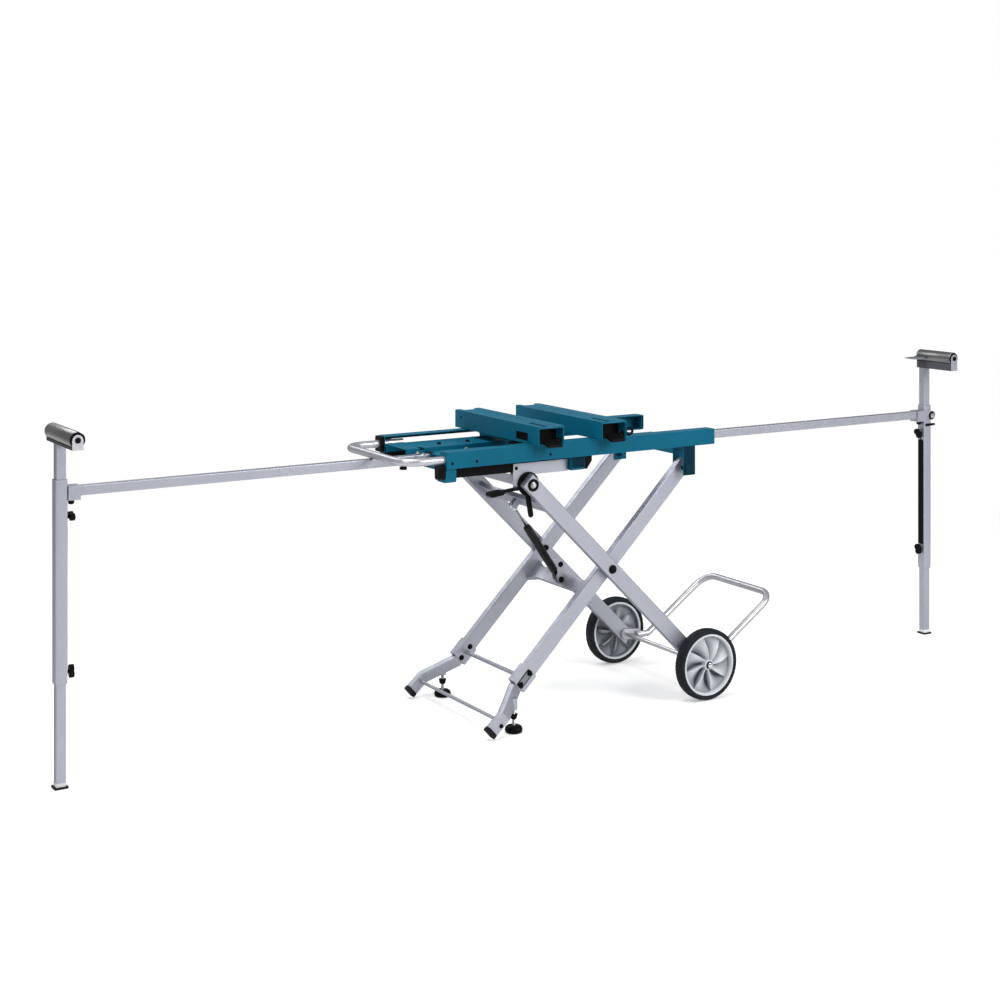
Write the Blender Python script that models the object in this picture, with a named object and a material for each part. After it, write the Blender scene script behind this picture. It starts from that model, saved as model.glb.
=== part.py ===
"""Folding miter saw stand with scissor legs, two side supports on sliding bars, and two saw arms.

Lengths are metres, +Z is up, X runs along the bars, and the front is at -Y.
"""

import math

import bmesh
import bpy
from mathutils import Vector

# Clearances
FIT_GAP = 0.0003
SLIDE_GAP = 0.0005
PIN_GAP = 0.0003

# Table
RAIL_LENGTH = 0.810
RAIL_HEIGHT = 0.040
RAIL_DEPTH = 0.034
SHEET = 0.002
TABLE_WIDTH = 0.356
TABLE_TOP = 0.698
RAIL_HOLE_RADIUS = 0.0025
RAIL_HOLE_DROP = 0.027
REAR_SLOT_START = 0.027
REAR_SLOT_LENGTH = 0.275
REAR_SLOT_DROP = 0.012
REAR_SLOT_HEIGHT = 0.020
rail_hole_shares = (-0.963, -0.795, -0.272)

# Bars and housings
BAR_SIZE = 0.022
BAR_WALL = 0.002
BAR_DROP = 0.042
BAR_INNER_END = 0.205
HOUSING_WALL = 0.0025
HOUSING_SEAM = 0.0005
HOUSING_INSET = 0.055
TONGUE_LENGTH = 0.082
TONGUE_WIDTH = 0.016
CROSS_MEMBER_INSET = 0.060
CROSS_MEMBER_WIDTH = 0.025
CROSS_MEMBER_HEIGHT = 0.0277

# Spine channel
SPINE_HEIGHT = 0.022
SPINE_LENGTH = 0.300
SPINE_RAIL_GAP = 0.008
SPINE_HOLE_RADIUS = 0.007
SPINE_HOLE_INSET = 0.185
SPINE_NOTCH_INSET = 0.040
SPINE_NOTCH_WIDTH = 0.012
SPINE_NOTCH_DEPTH = 0.026

# Carry handle
HANDLE_RADIUS = 0.0095
HANDLE_REACH = 0.105
HANDLE_BEND = 0.048
HANDLE_INSERT = 0.060

# Slide tracks and carriage
TRACK_INSET = 0.0385
TRACK_WIDTH = 0.018
TRACK_HEIGHT = 0.0277
TRACK_TAIL = 0.025
TRACK_END_SLANT = 0.014
HANGER_LENGTH = 0.030
RIGHT_HANGER_CLEAR = 0.002
RIGHT_HANGER_LENGTH = 0.038
HANGER_INSET = 0.008
HANGER_DROP = 0.0342
CARRIAGE_BEHIND = 0.042
CARRIAGE_AHEAD = 0.118
CARRIAGE_PLATE = 0.003
CARRIAGE_SIDE_GAP = 0.0015
CARRIAGE_FLOOR_DROP = 0.0085
CARRIAGE_TOP_GAP = 0.0067
RUNNER_TOP_GAP = 0.0017
RUNNER_HEIGHT = 0.018
CARRIAGE_LUG_DROP = 0.016
CARRIAGE_BEAM_RISE = 0.001

# Scissor legs
FOLD_PIVOT_INSET = 0.089
SLIDE_PIVOT_X = -0.161
PIVOT_DROP = 0.099
AXLE_X = 0.355
WHEEL_RADIUS = 0.092
LEG_WIDTH = 0.040
LEG_THICKNESS = 0.020
LEG_WALL = 0.002
LEG_CORNER = 0.003
LEG_HEAD = 0.018
LEG_PAIR_GAP = 0.003
LEG_SIDE_GAP = 0.005
LEG_END_HEIGHT = 0.1098
OUTER_LEG_TAIL = 0.022
PIVOT_RADIUS = 0.005
PIVOT_HEAD_RADIUS = 0.010
PIVOT_HEAD_HEIGHT = 0.0045
HINGE_BRACKET_BEHIND = 0.013
HINGE_BRACKET_WIDTH = 0.038
HINGE_BRACKET_DROP = 0.016
BRACKET_PLATE = 0.003
CROSS_PLATE_THICKNESS = 0.012
CROSS_PLATE_END = 0.030
CROSS_PLATE_MIDDLE = 0.018
CROSS_PLATE_INSET = 0.038

# Feet
SLEEVE_LAP = 0.038
SLEEVE_LENGTH = 0.050
SLEEVE_WALL = 0.003
FOOT_STEP = 0.010
FOOT_BEND_GAP = 0.006
TOE_SPLAY = 0.057
FOOT_RUN = 0.0673
KNEE_HEIGHT = 0.051
TOE_RUN = 0.0325
TOE_HEIGHT = 0.0225
TOE_CAP_LENGTH = 0.012
TOE_CAP_LIP = 0.0017
UPPER_ROD_RADIUS = 0.0055
LOWER_ROD_RADIUS = 0.0045
UPPER_ROD_INSET = 0.014
lower_rod_share = 0.308
level_share = 0.331
LEVEL_DISC_RADIUS = 0.022
LEVEL_DISC_HEIGHT = 0.018
LEVEL_STEM_RADIUS = 0.004
LEVEL_TRAVEL = 0.010
LEVEL_NUT_RADIUS = 0.010
LEVEL_NUT_HEIGHT = 0.013
LEVEL_BOSS_RADIUS = 0.009
LEVEL_OUTSET = 0.013
LEVEL_BOSS_DROP = 0.0259
LEVEL_BOSS_HEIGHT = 0.028
LEVEL_STEM_GRIP = 0.012

# Gas strut
STRUT_FOOT_PLACE = 0.0665
STRUT_FOOT_RISE = 0.006
STRUT_HEAD_PLACE = 0.095
STRUT_HEAD_DROP = 0.022
STRUT_RADIUS = 0.0105
STRUT_ROD_RADIUS = 0.004
STRUT_NECK = 0.016
ROD_SHOWN = 0.0704
STRUT_BORE_START = 0.028
ROD_GRIP = 0.0696
STRUT_EYE_RADIUS = 0.009
STRUT_EYE_HALF = 0.008
STRUT_PIN_RADIUS = 0.003
ROD_EYE_RADIUS = 0.008
ROD_EYE_HALF = 0.004
EAR_GAP = 0.0015
EAR_PLATE = 0.003

# Latch and release lever
LATCH_THICKNESS = 0.004
LATCH_RADIUS = 0.030
LATCH_REACH = 0.077
LATCH_WIDTH = 0.014
LEVER_PIVOT_BEHIND = 0.0375
LEVER_PIVOT_DROP = 0.008
LEVER_BARREL_RADIUS = 0.0048
LEVER_WIDTH = 0.012
LEVER_LENGTH = 0.076
LEVER_DROP = 0.008
LEVER_HALF = 0.0035
LEVER_GRIP_LENGTH = 0.030
LEVER_GRIP_HALF = 0.0060
LEVER_GRIP_SIDE = 0.005

# Wheels, axle and ground loop
WHEEL_CLEAR = 0.0111
TYRE_WIDTH = 0.034
TYRE_DEPTH = 0.0125
RIM_WIDTH = 0.028
RIM_DEPTH = 0.0055
WEB_HALF = 0.004
VANE_RISE = 0.0045
BOSS_RADIUS = 0.014
BOSS_HALF = 0.0165
AXLE_RADIUS = 0.006
AXLE_COLLAR = 0.010
AXLE_CAP_HEIGHT = 0.004
LOOP_RADIUS = 0.009
LOOP_LEG_GAP = 0.0045
LOOP_START_RUN = 0.031
LOOP_START_DROP = 0.005
LOOP_KNEE_RUN = 0.070
LOOP_END_RUN = 0.277
LOOP_END_RISE = 0.141
LOOP_BEND = 0.045
LOOP_PLATE_RADIUS = 0.014
LOOP_PLATE_WIDTH = 0.0075
VANES = 8

# Side supports
LEFT_LEG_X = -1.283
RIGHT_LEG_X = 1.332
POLE_SIZE = 0.028
POLE_WALL = 0.0024
POLE_CORNER = 0.003
POLE_RISE = 0.028
LEFT_POLE_TAIL = 0.0235
RIGHT_POLE_TAIL = 0.058
POST_GAP = 0.0004
POST_WALL = 0.002
POST_CORNER = 0.002
UPPER_POST_DROP = 0.096
LOWER_POST_GRIP = 0.145
POLE_SLOT_WIDTH = 0.008
UPPER_SLOT_LENGTH = 0.096
UPPER_SLOT_GAP = 0.014
LOWER_SLOT_GAP = 0.015
LOWER_SLOT_LENGTH = 0.209
UPPER_KNOB_DROP = 0.056
LOWER_KNOB_HEIGHT = 0.255
KNOB_WING = 0.015
KNOB_WAIST = 0.0065
KNOB_STEM_RADIUS = 0.004
KNOB_STEM = 0.006
KNOB_HEIGHT = 0.011
BAR_KNOB_RADIUS = 0.010
BAR_KNOB_LOBE = 0.0018
BAR_KNOB_HEIGHT = 0.007
BAR_KNOB_STEM = 0.0025
BAR_KNOB_INSET = 0.012
FOOT_PAD_SIZE = 0.036
FOOT_PAD_HEIGHT = 0.006
FITTING_LENGTH = 0.028
FITTING_LIP = 0.003
FITTING_RISE = 0.0015
FITTING_DROP = 0.019
FORK_HALF = 0.0105
FORK_REACH = 0.018
FORK_END = 0.0105

# Roller heads
ROLLER_RADIUS = 0.018
ROLLER_STUB = 0.004
ROLLER_CAP_RADIUS = 0.0065
ROLLER_CAP = 0.0035
HEAD_HALF = 0.0125
LEFT_ROLLER_RISE = 0.0875
RIGHT_ROLLER_RISE = 0.1335
LEFT_HEAD_LENGTH = 0.188
RIGHT_HEAD_LENGTH = 0.138
LEFT_HEAD_FORWARD = 0.0345
RIGHT_HEAD_FORWARD = 0.051
LEFT_FLOOR_GAP = 0.0015
RIGHT_FLOOR_GAP = 0.016
STOP_LENGTH = 0.040
STOP_WIDTH = 0.040
STOP_HALF = 0.0016
STOP_DROP = 0.0055
STOP_BARREL = 0.003
STOP_LUG = 0.0045

# Saw arms
ARM_OVERHANG = 0.027
ARM_WIDTH = 0.075
ARM_HEIGHT = 0.046
ARM_WALL = 0.0025
ARM_RIB_WIDTH = 0.016
ARM_RIB_RISE = 0.003
ARM_RIB_SLOPE = 0.002
LEFT_ARM_X = -0.125
RIGHT_ARM_X = 0.064
ARM_SLOT_WIDTH = 0.012
ARM_SLOT_LENGTH = 0.085
ARM_SLOT_INSET = 0.018
ARM_WINDOW_LENGTH = 0.055
ARM_WINDOW_HEIGHT = 0.020
ARM_WINDOW_INSET = 0.050
ARM_WINDOW_RISE = 0.006
ARM_HOLE_RADIUS = 0.004
ARM_HOLE_INSET = 0.030
ARM_HOLE_RISE = 0.028
ARM_LEVER_INSET = 0.012
ARM_LEVER_RISE = 0.0075
ARM_LEVER_BARREL = 0.006
ARM_LEVER_HALF = 0.020
ARM_LEVER_LENGTH = 0.029
ARM_LEVER_DROP = 0.008
ARM_LEVER_THICKNESS = 0.008

# Smooth shading turns sharp above this angle
SHARP = math.radians(35.0)

# Worked out from the sizes above: table, tracks and carriage
rail_bottom = TABLE_TOP - RAIL_HEIGHT
rail_half = RAIL_LENGTH / 2
table_half = TABLE_WIDTH / 2
rail_inner = table_half - RAIL_DEPTH
under_rail = rail_bottom - FIT_GAP
spine_rear = rail_inner - SPINE_RAIL_GAP
track_centre = table_half - TRACK_INSET
track_outer = track_centre + TRACK_WIDTH / 2
track_inner = track_centre - TRACK_WIDTH / 2
track_low = under_rail - TRACK_HEIGHT
hanger_front = table_half - HANGER_INSET
carriage_left = SLIDE_PIVOT_X - CARRIAGE_BEHIND
carriage_right = SLIDE_PIVOT_X + CARRIAGE_AHEAD
carriage_face = track_outer + CARRIAGE_SIDE_GAP + CARRIAGE_PLATE
carriage_bottom = track_low - CARRIAGE_FLOOR_DROP
carriage_top = under_rail - CARRIAGE_TOP_GAP
runner_top = under_rail - SHEET - RUNNER_TOP_GAP
runner_bottom = runner_top - RUNNER_HEIGHT
right_hanger_left = carriage_right + RIGHT_HANGER_CLEAR
track_right = right_hanger_left + RIGHT_HANGER_LENGTH + TRACK_TAIL

# Bars and housings
bar_height = TABLE_TOP - BAR_DROP
housing_inner = BAR_SIZE + SLIDE_GAP * 2
housing_size = housing_inner + HOUSING_WALL * 2
bar_offset = housing_size / 2 + HOUSING_SEAM
housing_reach = rail_half - HOUSING_INSET
cross_member_inner = rail_half - CROSS_MEMBER_INSET - CROSS_MEMBER_WIDTH
bar_knob_x = housing_reach + TONGUE_LENGTH - BAR_KNOB_INSET

# Legs
fold_pivot_x = rail_half - FOLD_PIVOT_INSET
bracket_left = fold_pivot_x - HINGE_BRACKET_BEHIND
pivot_height = TABLE_TOP - PIVOT_DROP
carriage_beam_bottom = pivot_height + CARRIAGE_BEAM_RISE
outer_leg_y = carriage_face + LEG_SIDE_GAP + LEG_THICKNESS / 2
inner_leg_y = outer_leg_y - LEG_THICKNESS - LEG_PAIR_GAP
leg_outer_face = outer_leg_y + LEG_THICKNESS / 2
leg_gap_outer = outer_leg_y - LEG_THICKNESS / 2
leg_gap_inner = inner_leg_y + LEG_THICKNESS / 2
slope = (pivot_height - WHEEL_RADIUS) / (AXLE_X - SLIDE_PIVOT_X)
alpha = math.atan(slope)
half_link = (fold_pivot_x - SLIDE_PIVOT_X) / 2 / math.cos(alpha)
centre_x = (fold_pivot_x + SLIDE_PIVOT_X) / 2
centre_z = pivot_height - half_link * math.sin(alpha)
axle_place = (AXLE_X - SLIDE_PIVOT_X) / math.cos(alpha)
inner_leg_length = (pivot_height - LEG_END_HEIGHT) / math.sin(alpha)

# Latch, release lever and strut
latch_y = leg_gap_outer - SLIDE_GAP
lever_rear = carriage_face + SLIDE_GAP
lever_front = lever_rear + LEVER_WIDTH
lever_pivot_x = SLIDE_PIVOT_X - LEVER_PIVOT_BEHIND
lever_pivot_z = pivot_height - LEVER_PIVOT_DROP
strut_bore = STRUT_ROD_RADIUS + SLIDE_GAP
ear_inner = STRUT_EYE_HALF + EAR_GAP
rod_ear_inner = ROD_EYE_HALF + EAR_GAP
plate_low = -LEG_WIDTH / 2
plate_top = plate_low + CROSS_PLATE_THICKNESS

# Feet
sleeve_start = inner_leg_length - SLEEVE_LAP
sleeve_end = sleeve_start + SLEEVE_LENGTH
foot_bend = sleeve_end + FOOT_BEND_GAP
foot_width = LEG_WIDTH - FOOT_STEP
bend_x = fold_pivot_x - foot_bend * math.cos(alpha)
bend_z = pivot_height - foot_bend * math.sin(alpha)
knee_x = bend_x - FOOT_RUN
toe_x = knee_x - TOE_RUN
toe_y = inner_leg_y + TOE_SPLAY
lower_rod_x = knee_x - lower_rod_share * TOE_RUN
lower_rod_z = KNEE_HEIGHT - lower_rod_share * (KNEE_HEIGHT - TOE_HEIGHT)
level_x = bend_x - level_share * FOOT_RUN
level_y = inner_leg_y + level_share * TOE_SPLAY + LEVEL_OUTSET
level_boss_low = bend_z - level_share * (bend_z - KNEE_HEIGHT) - LEVEL_BOSS_DROP

# Wheels and ground loop
wheel_y = leg_outer_face + WHEEL_CLEAR + BOSS_HALF
hub_radius = WHEEL_RADIUS - TYRE_DEPTH
loop_plate_outer = leg_gap_outer - SLIDE_GAP
loop_plate_inner = loop_plate_outer - LOOP_PLATE_WIDTH
loop_y = leg_gap_outer - LOOP_LEG_GAP - LOOP_RADIUS
loop_start_x = AXLE_X + LOOP_START_RUN
loop_start_z = WHEEL_RADIUS - LOOP_START_DROP
loop_knee_x = AXLE_X + LOOP_KNEE_RUN
loop_end_x = AXLE_X + LOOP_END_RUN
loop_end_z = loop_start_z + LOOP_END_RISE

# Side supports and roller heads
pole_top = bar_height + POLE_RISE
post_size = POLE_SIZE - POLE_WALL * 2 - POST_GAP * 2
upper_knob_z = bar_height - UPPER_KNOB_DROP
upper_post_bottom = bar_height - UPPER_POST_DROP
upper_slot_high = upper_knob_z - UPPER_SLOT_GAP
upper_slot_low = upper_slot_high - UPPER_SLOT_LENGTH
lower_slot_low = LOWER_KNOB_HEIGHT + LOWER_SLOT_GAP
lower_slot_high = lower_slot_low + LOWER_SLOT_LENGTH
lower_post_top = LOWER_KNOB_HEIGHT + LOWER_POST_GRIP
fitting_half = POLE_SIZE / 2 + FITTING_LIP
fitting_top = BAR_SIZE / 2 + FITTING_RISE
head_wall_inner = HEAD_HALF - SHEET
head_wall_top = -math.sqrt(ROLLER_RADIUS ** 2 - head_wall_inner ** 2) - SLIDE_GAP
head_end_radius = HEAD_HALF - SHEET / 4
left_roller_z = TABLE_TOP + LEFT_ROLLER_RISE
right_roller_z = TABLE_TOP + RIGHT_ROLLER_RISE
left_head_depth = ROLLER_RADIUS + SHEET + LEFT_FLOOR_GAP
right_head_depth = ROLLER_RADIUS + SHEET + RIGHT_FLOOR_GAP
arm_length = TABLE_WIDTH + ARM_OVERHANG * 2

# The middle of the whole stand lies at X = 0
right_reach = RIGHT_LEG_X + max(FORK_REACH + FORK_END, ROLLER_RADIUS, FOOT_PAD_SIZE / 2)
left_reach = LEFT_LEG_X - max(POLE_SIZE / 2, ROLLER_RADIUS, FOOT_PAD_SIZE / 2)
shift_x = -(left_reach + right_reach) / 2


# Helpers that return closed shells as (points, faces)
def along_x(u, v, w):
    return (w, u, v)


def along_y(u, v, w):
    return (u, w, v)


def along_z(u, v, w):
    return (u, v, w)


def link_frame(start_x, start_z, direction, normal):
    """Returns a placing function: u along the normal, v along Y, w along the link."""
    def place(u, v, w):
        x = start_x + direction[0] * w + normal[0] * u
        z = start_z + direction[1] * w + normal[1] * u
        return (x, v, z)
    return place


def swap(place):
    """The same placing function for an outline drawn on Y and the link's length."""
    def swapped(u, v, w):
        return place(w, u, v)
    return swapped


def side_place(place):
    """The same placing function for an outline drawn on the normal and the link's length."""
    def turned(u, v, w):
        return place(u, w, v)
    return turned


def prism(loop, place, low, high):
    count = len(loop)
    points = [place(u, v, low) for u, v in loop] + [place(u, v, high) for u, v in loop]
    faces = [tuple(range(count)), tuple(range(2 * count - 1, count - 1, -1))]
    for i in range(count):
        j = (i + 1) % count
        faces.append((i, j, count + j, count + i))
    return points, faces


def pipe(outer, inner, place, low, high):
    count = len(outer)
    points = []
    for end in (low, high):
        for loop in (outer, inner):
            points += [place(u, v, end) for u, v in loop]
    faces = []
    for i in range(count):
        j = (i + 1) % count
        faces.append((i, j, 2 * count + j, 2 * count + i))
        faces.append((count + j, count + i, 3 * count + i, 3 * count + j))
        faces.append((i, j, count + j, count + i))
        faces.append((2 * count + i, 2 * count + j, 3 * count + j, 3 * count + i))
    return points, faces


def block(x, y, z):
    loop = [(x[0], y[0]), (x[1], y[0]), (x[1], y[1]), (x[0], y[1])]
    return prism(loop, along_z, z[0], z[1])


def circle(radius, count, u=0.0, v=0.0):
    turn = 2 * math.pi / count
    return [(u + radius * math.cos(turn * k), v + radius * math.sin(turn * k)) for k in range(count)]


def rounded(width, height, radius, u=0.0, v=0.0, steps=3):
    points = []
    corners = ((1, 1, 0.0), (-1, 1, 0.5), (-1, -1, 1.0), (1, -1, 1.5))
    for side_u, side_v, start in corners:
        mid_u = u + side_u * (width / 2 - radius)
        mid_v = v + side_v * (height / 2 - radius)
        for k in range(steps):
            angle = math.pi * (start + 0.5 * k / (steps - 1))
            points.append((mid_u + radius * math.cos(angle), mid_v + radius * math.sin(angle)))
    return points


def capsule(u0, v0, u1, v1, radius, steps=7):
    """Outline of a bar with round ends around two points."""
    base = math.atan2(v1 - v0, u1 - u0)
    points = []
    for k in range(steps):
        angle = base - math.pi / 2 + math.pi * k / (steps - 1)
        points.append((u1 + radius * math.cos(angle), v1 + radius * math.sin(angle)))
    for k in range(steps):
        angle = base + math.pi / 2 + math.pi * k / (steps - 1)
        points.append((u0 + radius * math.cos(angle), v0 + radius * math.sin(angle)))
    return points


def turned(profile, centre, axis, count):
    """Turns an open profile of (radius, distance) about an axis, with flat ends on the axis side."""
    axis = Vector(axis).normalized()
    guide = Vector((0.0, 0.0, 1.0))
    if abs(axis.z) > 0.9:
        guide = Vector((1.0, 0.0, 0.0))
    side = axis.cross(guide).normalized()
    other = axis.cross(side)
    centre = Vector(centre)
    points = []
    for radius, distance in profile:
        for k in range(count):
            angle = 2 * math.pi * k / count
            arm = side * math.cos(angle) + other * math.sin(angle)
            points.append(tuple(centre + axis * distance + arm * radius))
    faces = [tuple(range(count))]
    last = (len(profile) - 1) * count
    faces.append(tuple(range(last + count - 1, last - 1, -1)))
    for row in range(len(profile) - 1):
        for k in range(count):
            nxt = (k + 1) % count
            faces.append((row * count + k, row * count + nxt, (row + 1) * count + nxt,
                          (row + 1) * count + k))
    return points, faces


def bent_path(corners, bend, steps=6):
    """Rounds each inner corner of a path with an arc of the given radius."""
    corners = [Vector(c) for c in corners]
    path = [corners[0]]
    for before, here, after in zip(corners, corners[1:], corners[2:]):
        into = (before - here).normalized()
        out = (after - here).normalized()
        half = into.angle(out) / 2
        back = bend / math.tan(half)
        middle = here + (into + out).normalized() * bend / math.sin(half)
        start = here + into * back
        end = here + out * back
        arm0 = start - middle
        arm1 = end - middle
        spread = arm0.angle(arm1)
        for k in range(steps + 1):
            share = k / steps
            arm = arm0 * math.sin((1 - share) * spread) + arm1 * math.sin(share * spread)
            path.append(middle + arm / math.sin(spread))
    path.append(corners[-1])
    return path


def swept(path, loop, flat):
    """Carries a closed loop along a path, mitred at each point. The loop's v axis stays near flat."""
    path = [Vector(p) for p in path]
    points = []
    for i, here in enumerate(path):
        before = (here - path[i - 1]).normalized() if i else None
        after = (path[i + 1] - here).normalized() if i + 1 < len(path) else None
        if before is None:
            before = after
        if after is None:
            after = before
        cut_normal = (before + after).normalized()
        side = before.cross(Vector(flat)).normalized()
        lift = side.cross(before).normalized()
        for u, v in loop:
            corner = side * u + lift * v
            corner -= before * (corner.dot(cut_normal) / before.dot(cut_normal))
            points.append(tuple(here + corner))
    count = len(loop)
    faces = [tuple(range(count))]
    last = (len(path) - 1) * count
    faces.append(tuple(range(last + count - 1, last - 1, -1)))
    for row in range(len(path) - 1):
        for k in range(count):
            nxt = (k + 1) % count
            faces.append((row * count + k, row * count + nxt, (row + 1) * count + nxt,
                          (row + 1) * count + k))
    return points, faces


def mirror_y(shell):
    points, faces = shell
    return [(x, -y, z) for x, y, z in points], faces


def both(shell):
    return [shell, mirror_y(shell)]


def sided(shell, side):
    """A shell drawn at the front, kept there or mirrored to the rear."""
    return shell if side < 0 else mirror_y(shell)


SIDES = (("front", -1), ("rear", 1))


# Materials
def paint(name, colour, roughness, metallic):
    material = bpy.data.materials.new(name)
    material.use_nodes = True
    material.diffuse_color = (*colour, 1.0)
    shader = material.node_tree.nodes["Principled BSDF"]
    shader.inputs["Base Color"].default_value = (*colour, 1.0)
    shader.inputs["Roughness"].default_value = roughness
    shader.inputs["Metallic"].default_value = metallic
    return material


for old in list(bpy.data.objects):
    bpy.data.objects.remove(old)

TEAL = paint("teal_paint", (0.006, 0.105, 0.165), 0.42, 0.0)
SILVER = paint("silver_paint", (0.46, 0.46, 0.50), 0.40, 0.55)
STEEL = paint("bright_steel", (0.55, 0.55, 0.56), 0.30, 0.90)
BLACK = paint("black_plastic", (0.012, 0.012, 0.013), 0.50, 0.0)
RUBBER = paint("black_rubber", (0.014, 0.014, 0.015), 0.75, 0.0)
HUB = paint("hub_plastic", (0.62, 0.63, 0.64), 0.45, 0.0)
GREY = paint("head_steel", (0.28, 0.28, 0.30), 0.45, 0.40)
ROLLER = paint("roller_steel", (0.22, 0.22, 0.22), 0.35, 0.85)


def mesh_of(name, shells, origin):
    mesh = bpy.data.meshes.new(name)
    work = bmesh.new()
    for points, faces in shells:
        made = [work.verts.new((x - origin[0], y - origin[1], z - origin[2])) for x, y, z in points]
        for face in faces:
            work.faces.new([made[i] for i in face])
    bmesh.ops.recalc_face_normals(work, faces=work.faces)
    work.to_mesh(mesh)
    work.free()
    return mesh


def solid(name, shells, material, origin=(0.0, 0.0, 0.0), smooth=False):
    mesh = mesh_of(name, shells, origin)
    mesh.materials.append(material)
    if smooth:
        mesh.shade_smooth()
        mesh.set_sharp_from_angle(angle=SHARP)
    item = bpy.data.objects.new(name, mesh)
    item.location = (origin[0] + shift_x, origin[1], origin[2])
    bpy.context.scene.collection.objects.link(item)
    return item


def boolean(item, shells, operation):
    label = item.name + "_" + operation.lower() + "_" + str(len(item.modifiers))
    tool = bpy.data.objects.new(label, mesh_of(label, shells, (0.0, 0.0, 0.0)))
    tool.location = (shift_x, 0.0, 0.0)
    tool.hide_render = True
    tool.display_type = "WIRE"
    bpy.context.scene.collection.objects.link(tool)
    change = item.modifiers.new(operation.lower(), "BOOLEAN")
    change.operation = operation
    change.solver = "EXACT"
    change.object = tool


def cut(item, shells):
    boolean(item, shells, "DIFFERENCE")


def join(item, shells):
    boolean(item, shells, "UNION")


def pivot_bolt(x, z, outer, inner, collars, head_radius=PIVOT_HEAD_RADIUS):
    """A headed bolt along Y at the front, with wider collars between the plates."""
    profile = [(head_radius * 0.85, outer + PIVOT_HEAD_HEIGHT),
               (head_radius, outer + PIVOT_HEAD_HEIGHT * 0.6)]
    profile += [(head_radius, outer), (PIVOT_RADIUS, outer)]
    for high, low in collars:
        profile += [(PIVOT_RADIUS, high), (PIVOT_HEAD_RADIUS, high), (PIVOT_HEAD_RADIUS, low),
                    (PIVOT_RADIUS, low)]
    profile += [(PIVOT_RADIUS, inner), (head_radius * 0.8, inner)]
    profile += [(head_radius * 0.8, inner - PIVOT_HEAD_HEIGHT)]
    return turned(profile, (x, 0.0, z), (0.0, -1.0, 0.0), 14)


def hole_y(x, z, radius, low, high, count=14):
    return prism(circle(radius, count, x, z), along_y, low, high)


# Rails, with the hinge bracket and the two track hangers that are welded under each
bracket_inner = inner_leg_y - LEG_THICKNESS / 2 - SLIDE_GAP * 2
bracket_outer = table_half - FIT_GAP
bracket_right = bracket_left + HINGE_BRACKET_WIDTH
bracket_low = pivot_height - HINGE_BRACKET_DROP
weld_top = rail_bottom + SHEET / 2
weld_edge = rail_inner + SHEET
hanger_low = under_rail - HANGER_DROP
bracket_loop = [
    (-bracket_outer, weld_top), (-bracket_outer, bracket_low), (-bracket_outer + BRACKET_PLATE, bracket_low),
    (-bracket_outer + BRACKET_PLATE, under_rail - BRACKET_PLATE),
    (-bracket_inner, under_rail - BRACKET_PLATE),
    (-bracket_inner, bracket_low), (-bracket_inner + BRACKET_PLATE, bracket_low),
    (-bracket_inner + BRACKET_PLATE, under_rail), (-weld_edge, under_rail), (-weld_edge, weld_top)]
hanger_loop = [
    (-hanger_front, weld_top), (-hanger_front, hanger_low + SHEET * 2),
    (-hanger_front + SHEET * 2, hanger_low),
    (-track_inner, hanger_low), (-track_inner, track_low - FIT_GAP),
    (-track_outer - FIT_GAP, track_low - FIT_GAP),
    (-track_outer - FIT_GAP, weld_top)]
hanger_left = -rail_half + FIT_GAP
hanger_spans = (
    (hanger_left, hanger_left + HANGER_LENGTH), (right_hanger_left, right_hanger_left + RIGHT_HANGER_LENGTH))


def make_rail(name, side):
    low = min(side * table_half, side * rail_inner)
    high = max(side * table_half, side * rail_inner)
    rail = solid(name, [block((-rail_half, rail_half), (low, high), (rail_bottom, TABLE_TOP))], TEAL)
    near = side * (rail_inner - RAIL_DEPTH)
    far = side * (table_half - SHEET)
    hollow_y = (min(near, far), max(near, far))
    hollow_x = (-rail_half + SHEET, rail_half - SHEET)
    mouth = prism(circle(HANDLE_RADIUS + SLIDE_GAP, 16, side * handle_y, handle_z), along_x,
                  -rail_half - SHEET,
                  -rail_half + SHEET * 2)
    cut(rail, [block(hollow_x, hollow_y, (rail_bottom + SHEET, TABLE_TOP - SHEET))])
    cut(rail, [mouth])
    under = [sided(prism(bracket_loop, along_x, bracket_left, bracket_right), side)]
    for left, right in hanger_spans:
        under.append(sided(prism(hanger_loop, along_x, left, right), side))
    join(rail, under)
    cut(rail, [sided(hole_y(fold_pivot_x, pivot_height, PIVOT_RADIUS + PIN_GAP, -table_half - SHEET,
                            -bracket_inner + BRACKET_PLATE * 2), side)])
    return rail


handle_y = (table_half + rail_inner) / 2
handle_z = (rail_bottom + TABLE_TOP) / 2
front_rail = make_rail("front_rail", -1)
rear_rail = make_rail("rear_rail", 1)
dots = []
for share in rail_hole_shares:
    dots.append(hole_y(share * rail_half, TABLE_TOP - RAIL_HOLE_DROP, RAIL_HOLE_RADIUS, -table_half - SHEET,
                       -table_half + SHEET * 2, 12))
cut(front_rail, dots)
slot_mid = TABLE_TOP - REAR_SLOT_DROP - REAR_SLOT_HEIGHT / 2
slot_left = -rail_half + REAR_SLOT_START + REAR_SLOT_HEIGHT / 2
slot_right = slot_left + REAR_SLOT_LENGTH - REAR_SLOT_HEIGHT
slot_loop = capsule(slot_left, slot_mid, slot_right, slot_mid, REAR_SLOT_HEIGHT / 2)
cut(rear_rail, [prism(slot_loop, along_y, table_half - SHEET * 2, table_half + SHEET)])

# Carry handle
handle_in = -rail_half + HANDLE_INSERT
handle_out = -rail_half - HANDLE_REACH
handle_path = bent_path(
    [(handle_in, -handle_y, handle_z), (handle_out, -handle_y, handle_z),
     (handle_out, handle_y, handle_z), (handle_in, handle_y, handle_z)], HANDLE_BEND)
solid("carry_handle", [swept(handle_path, circle(HANDLE_RADIUS, 14), (0.0, 0.0, 1.0))], SILVER, smooth=True)

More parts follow.
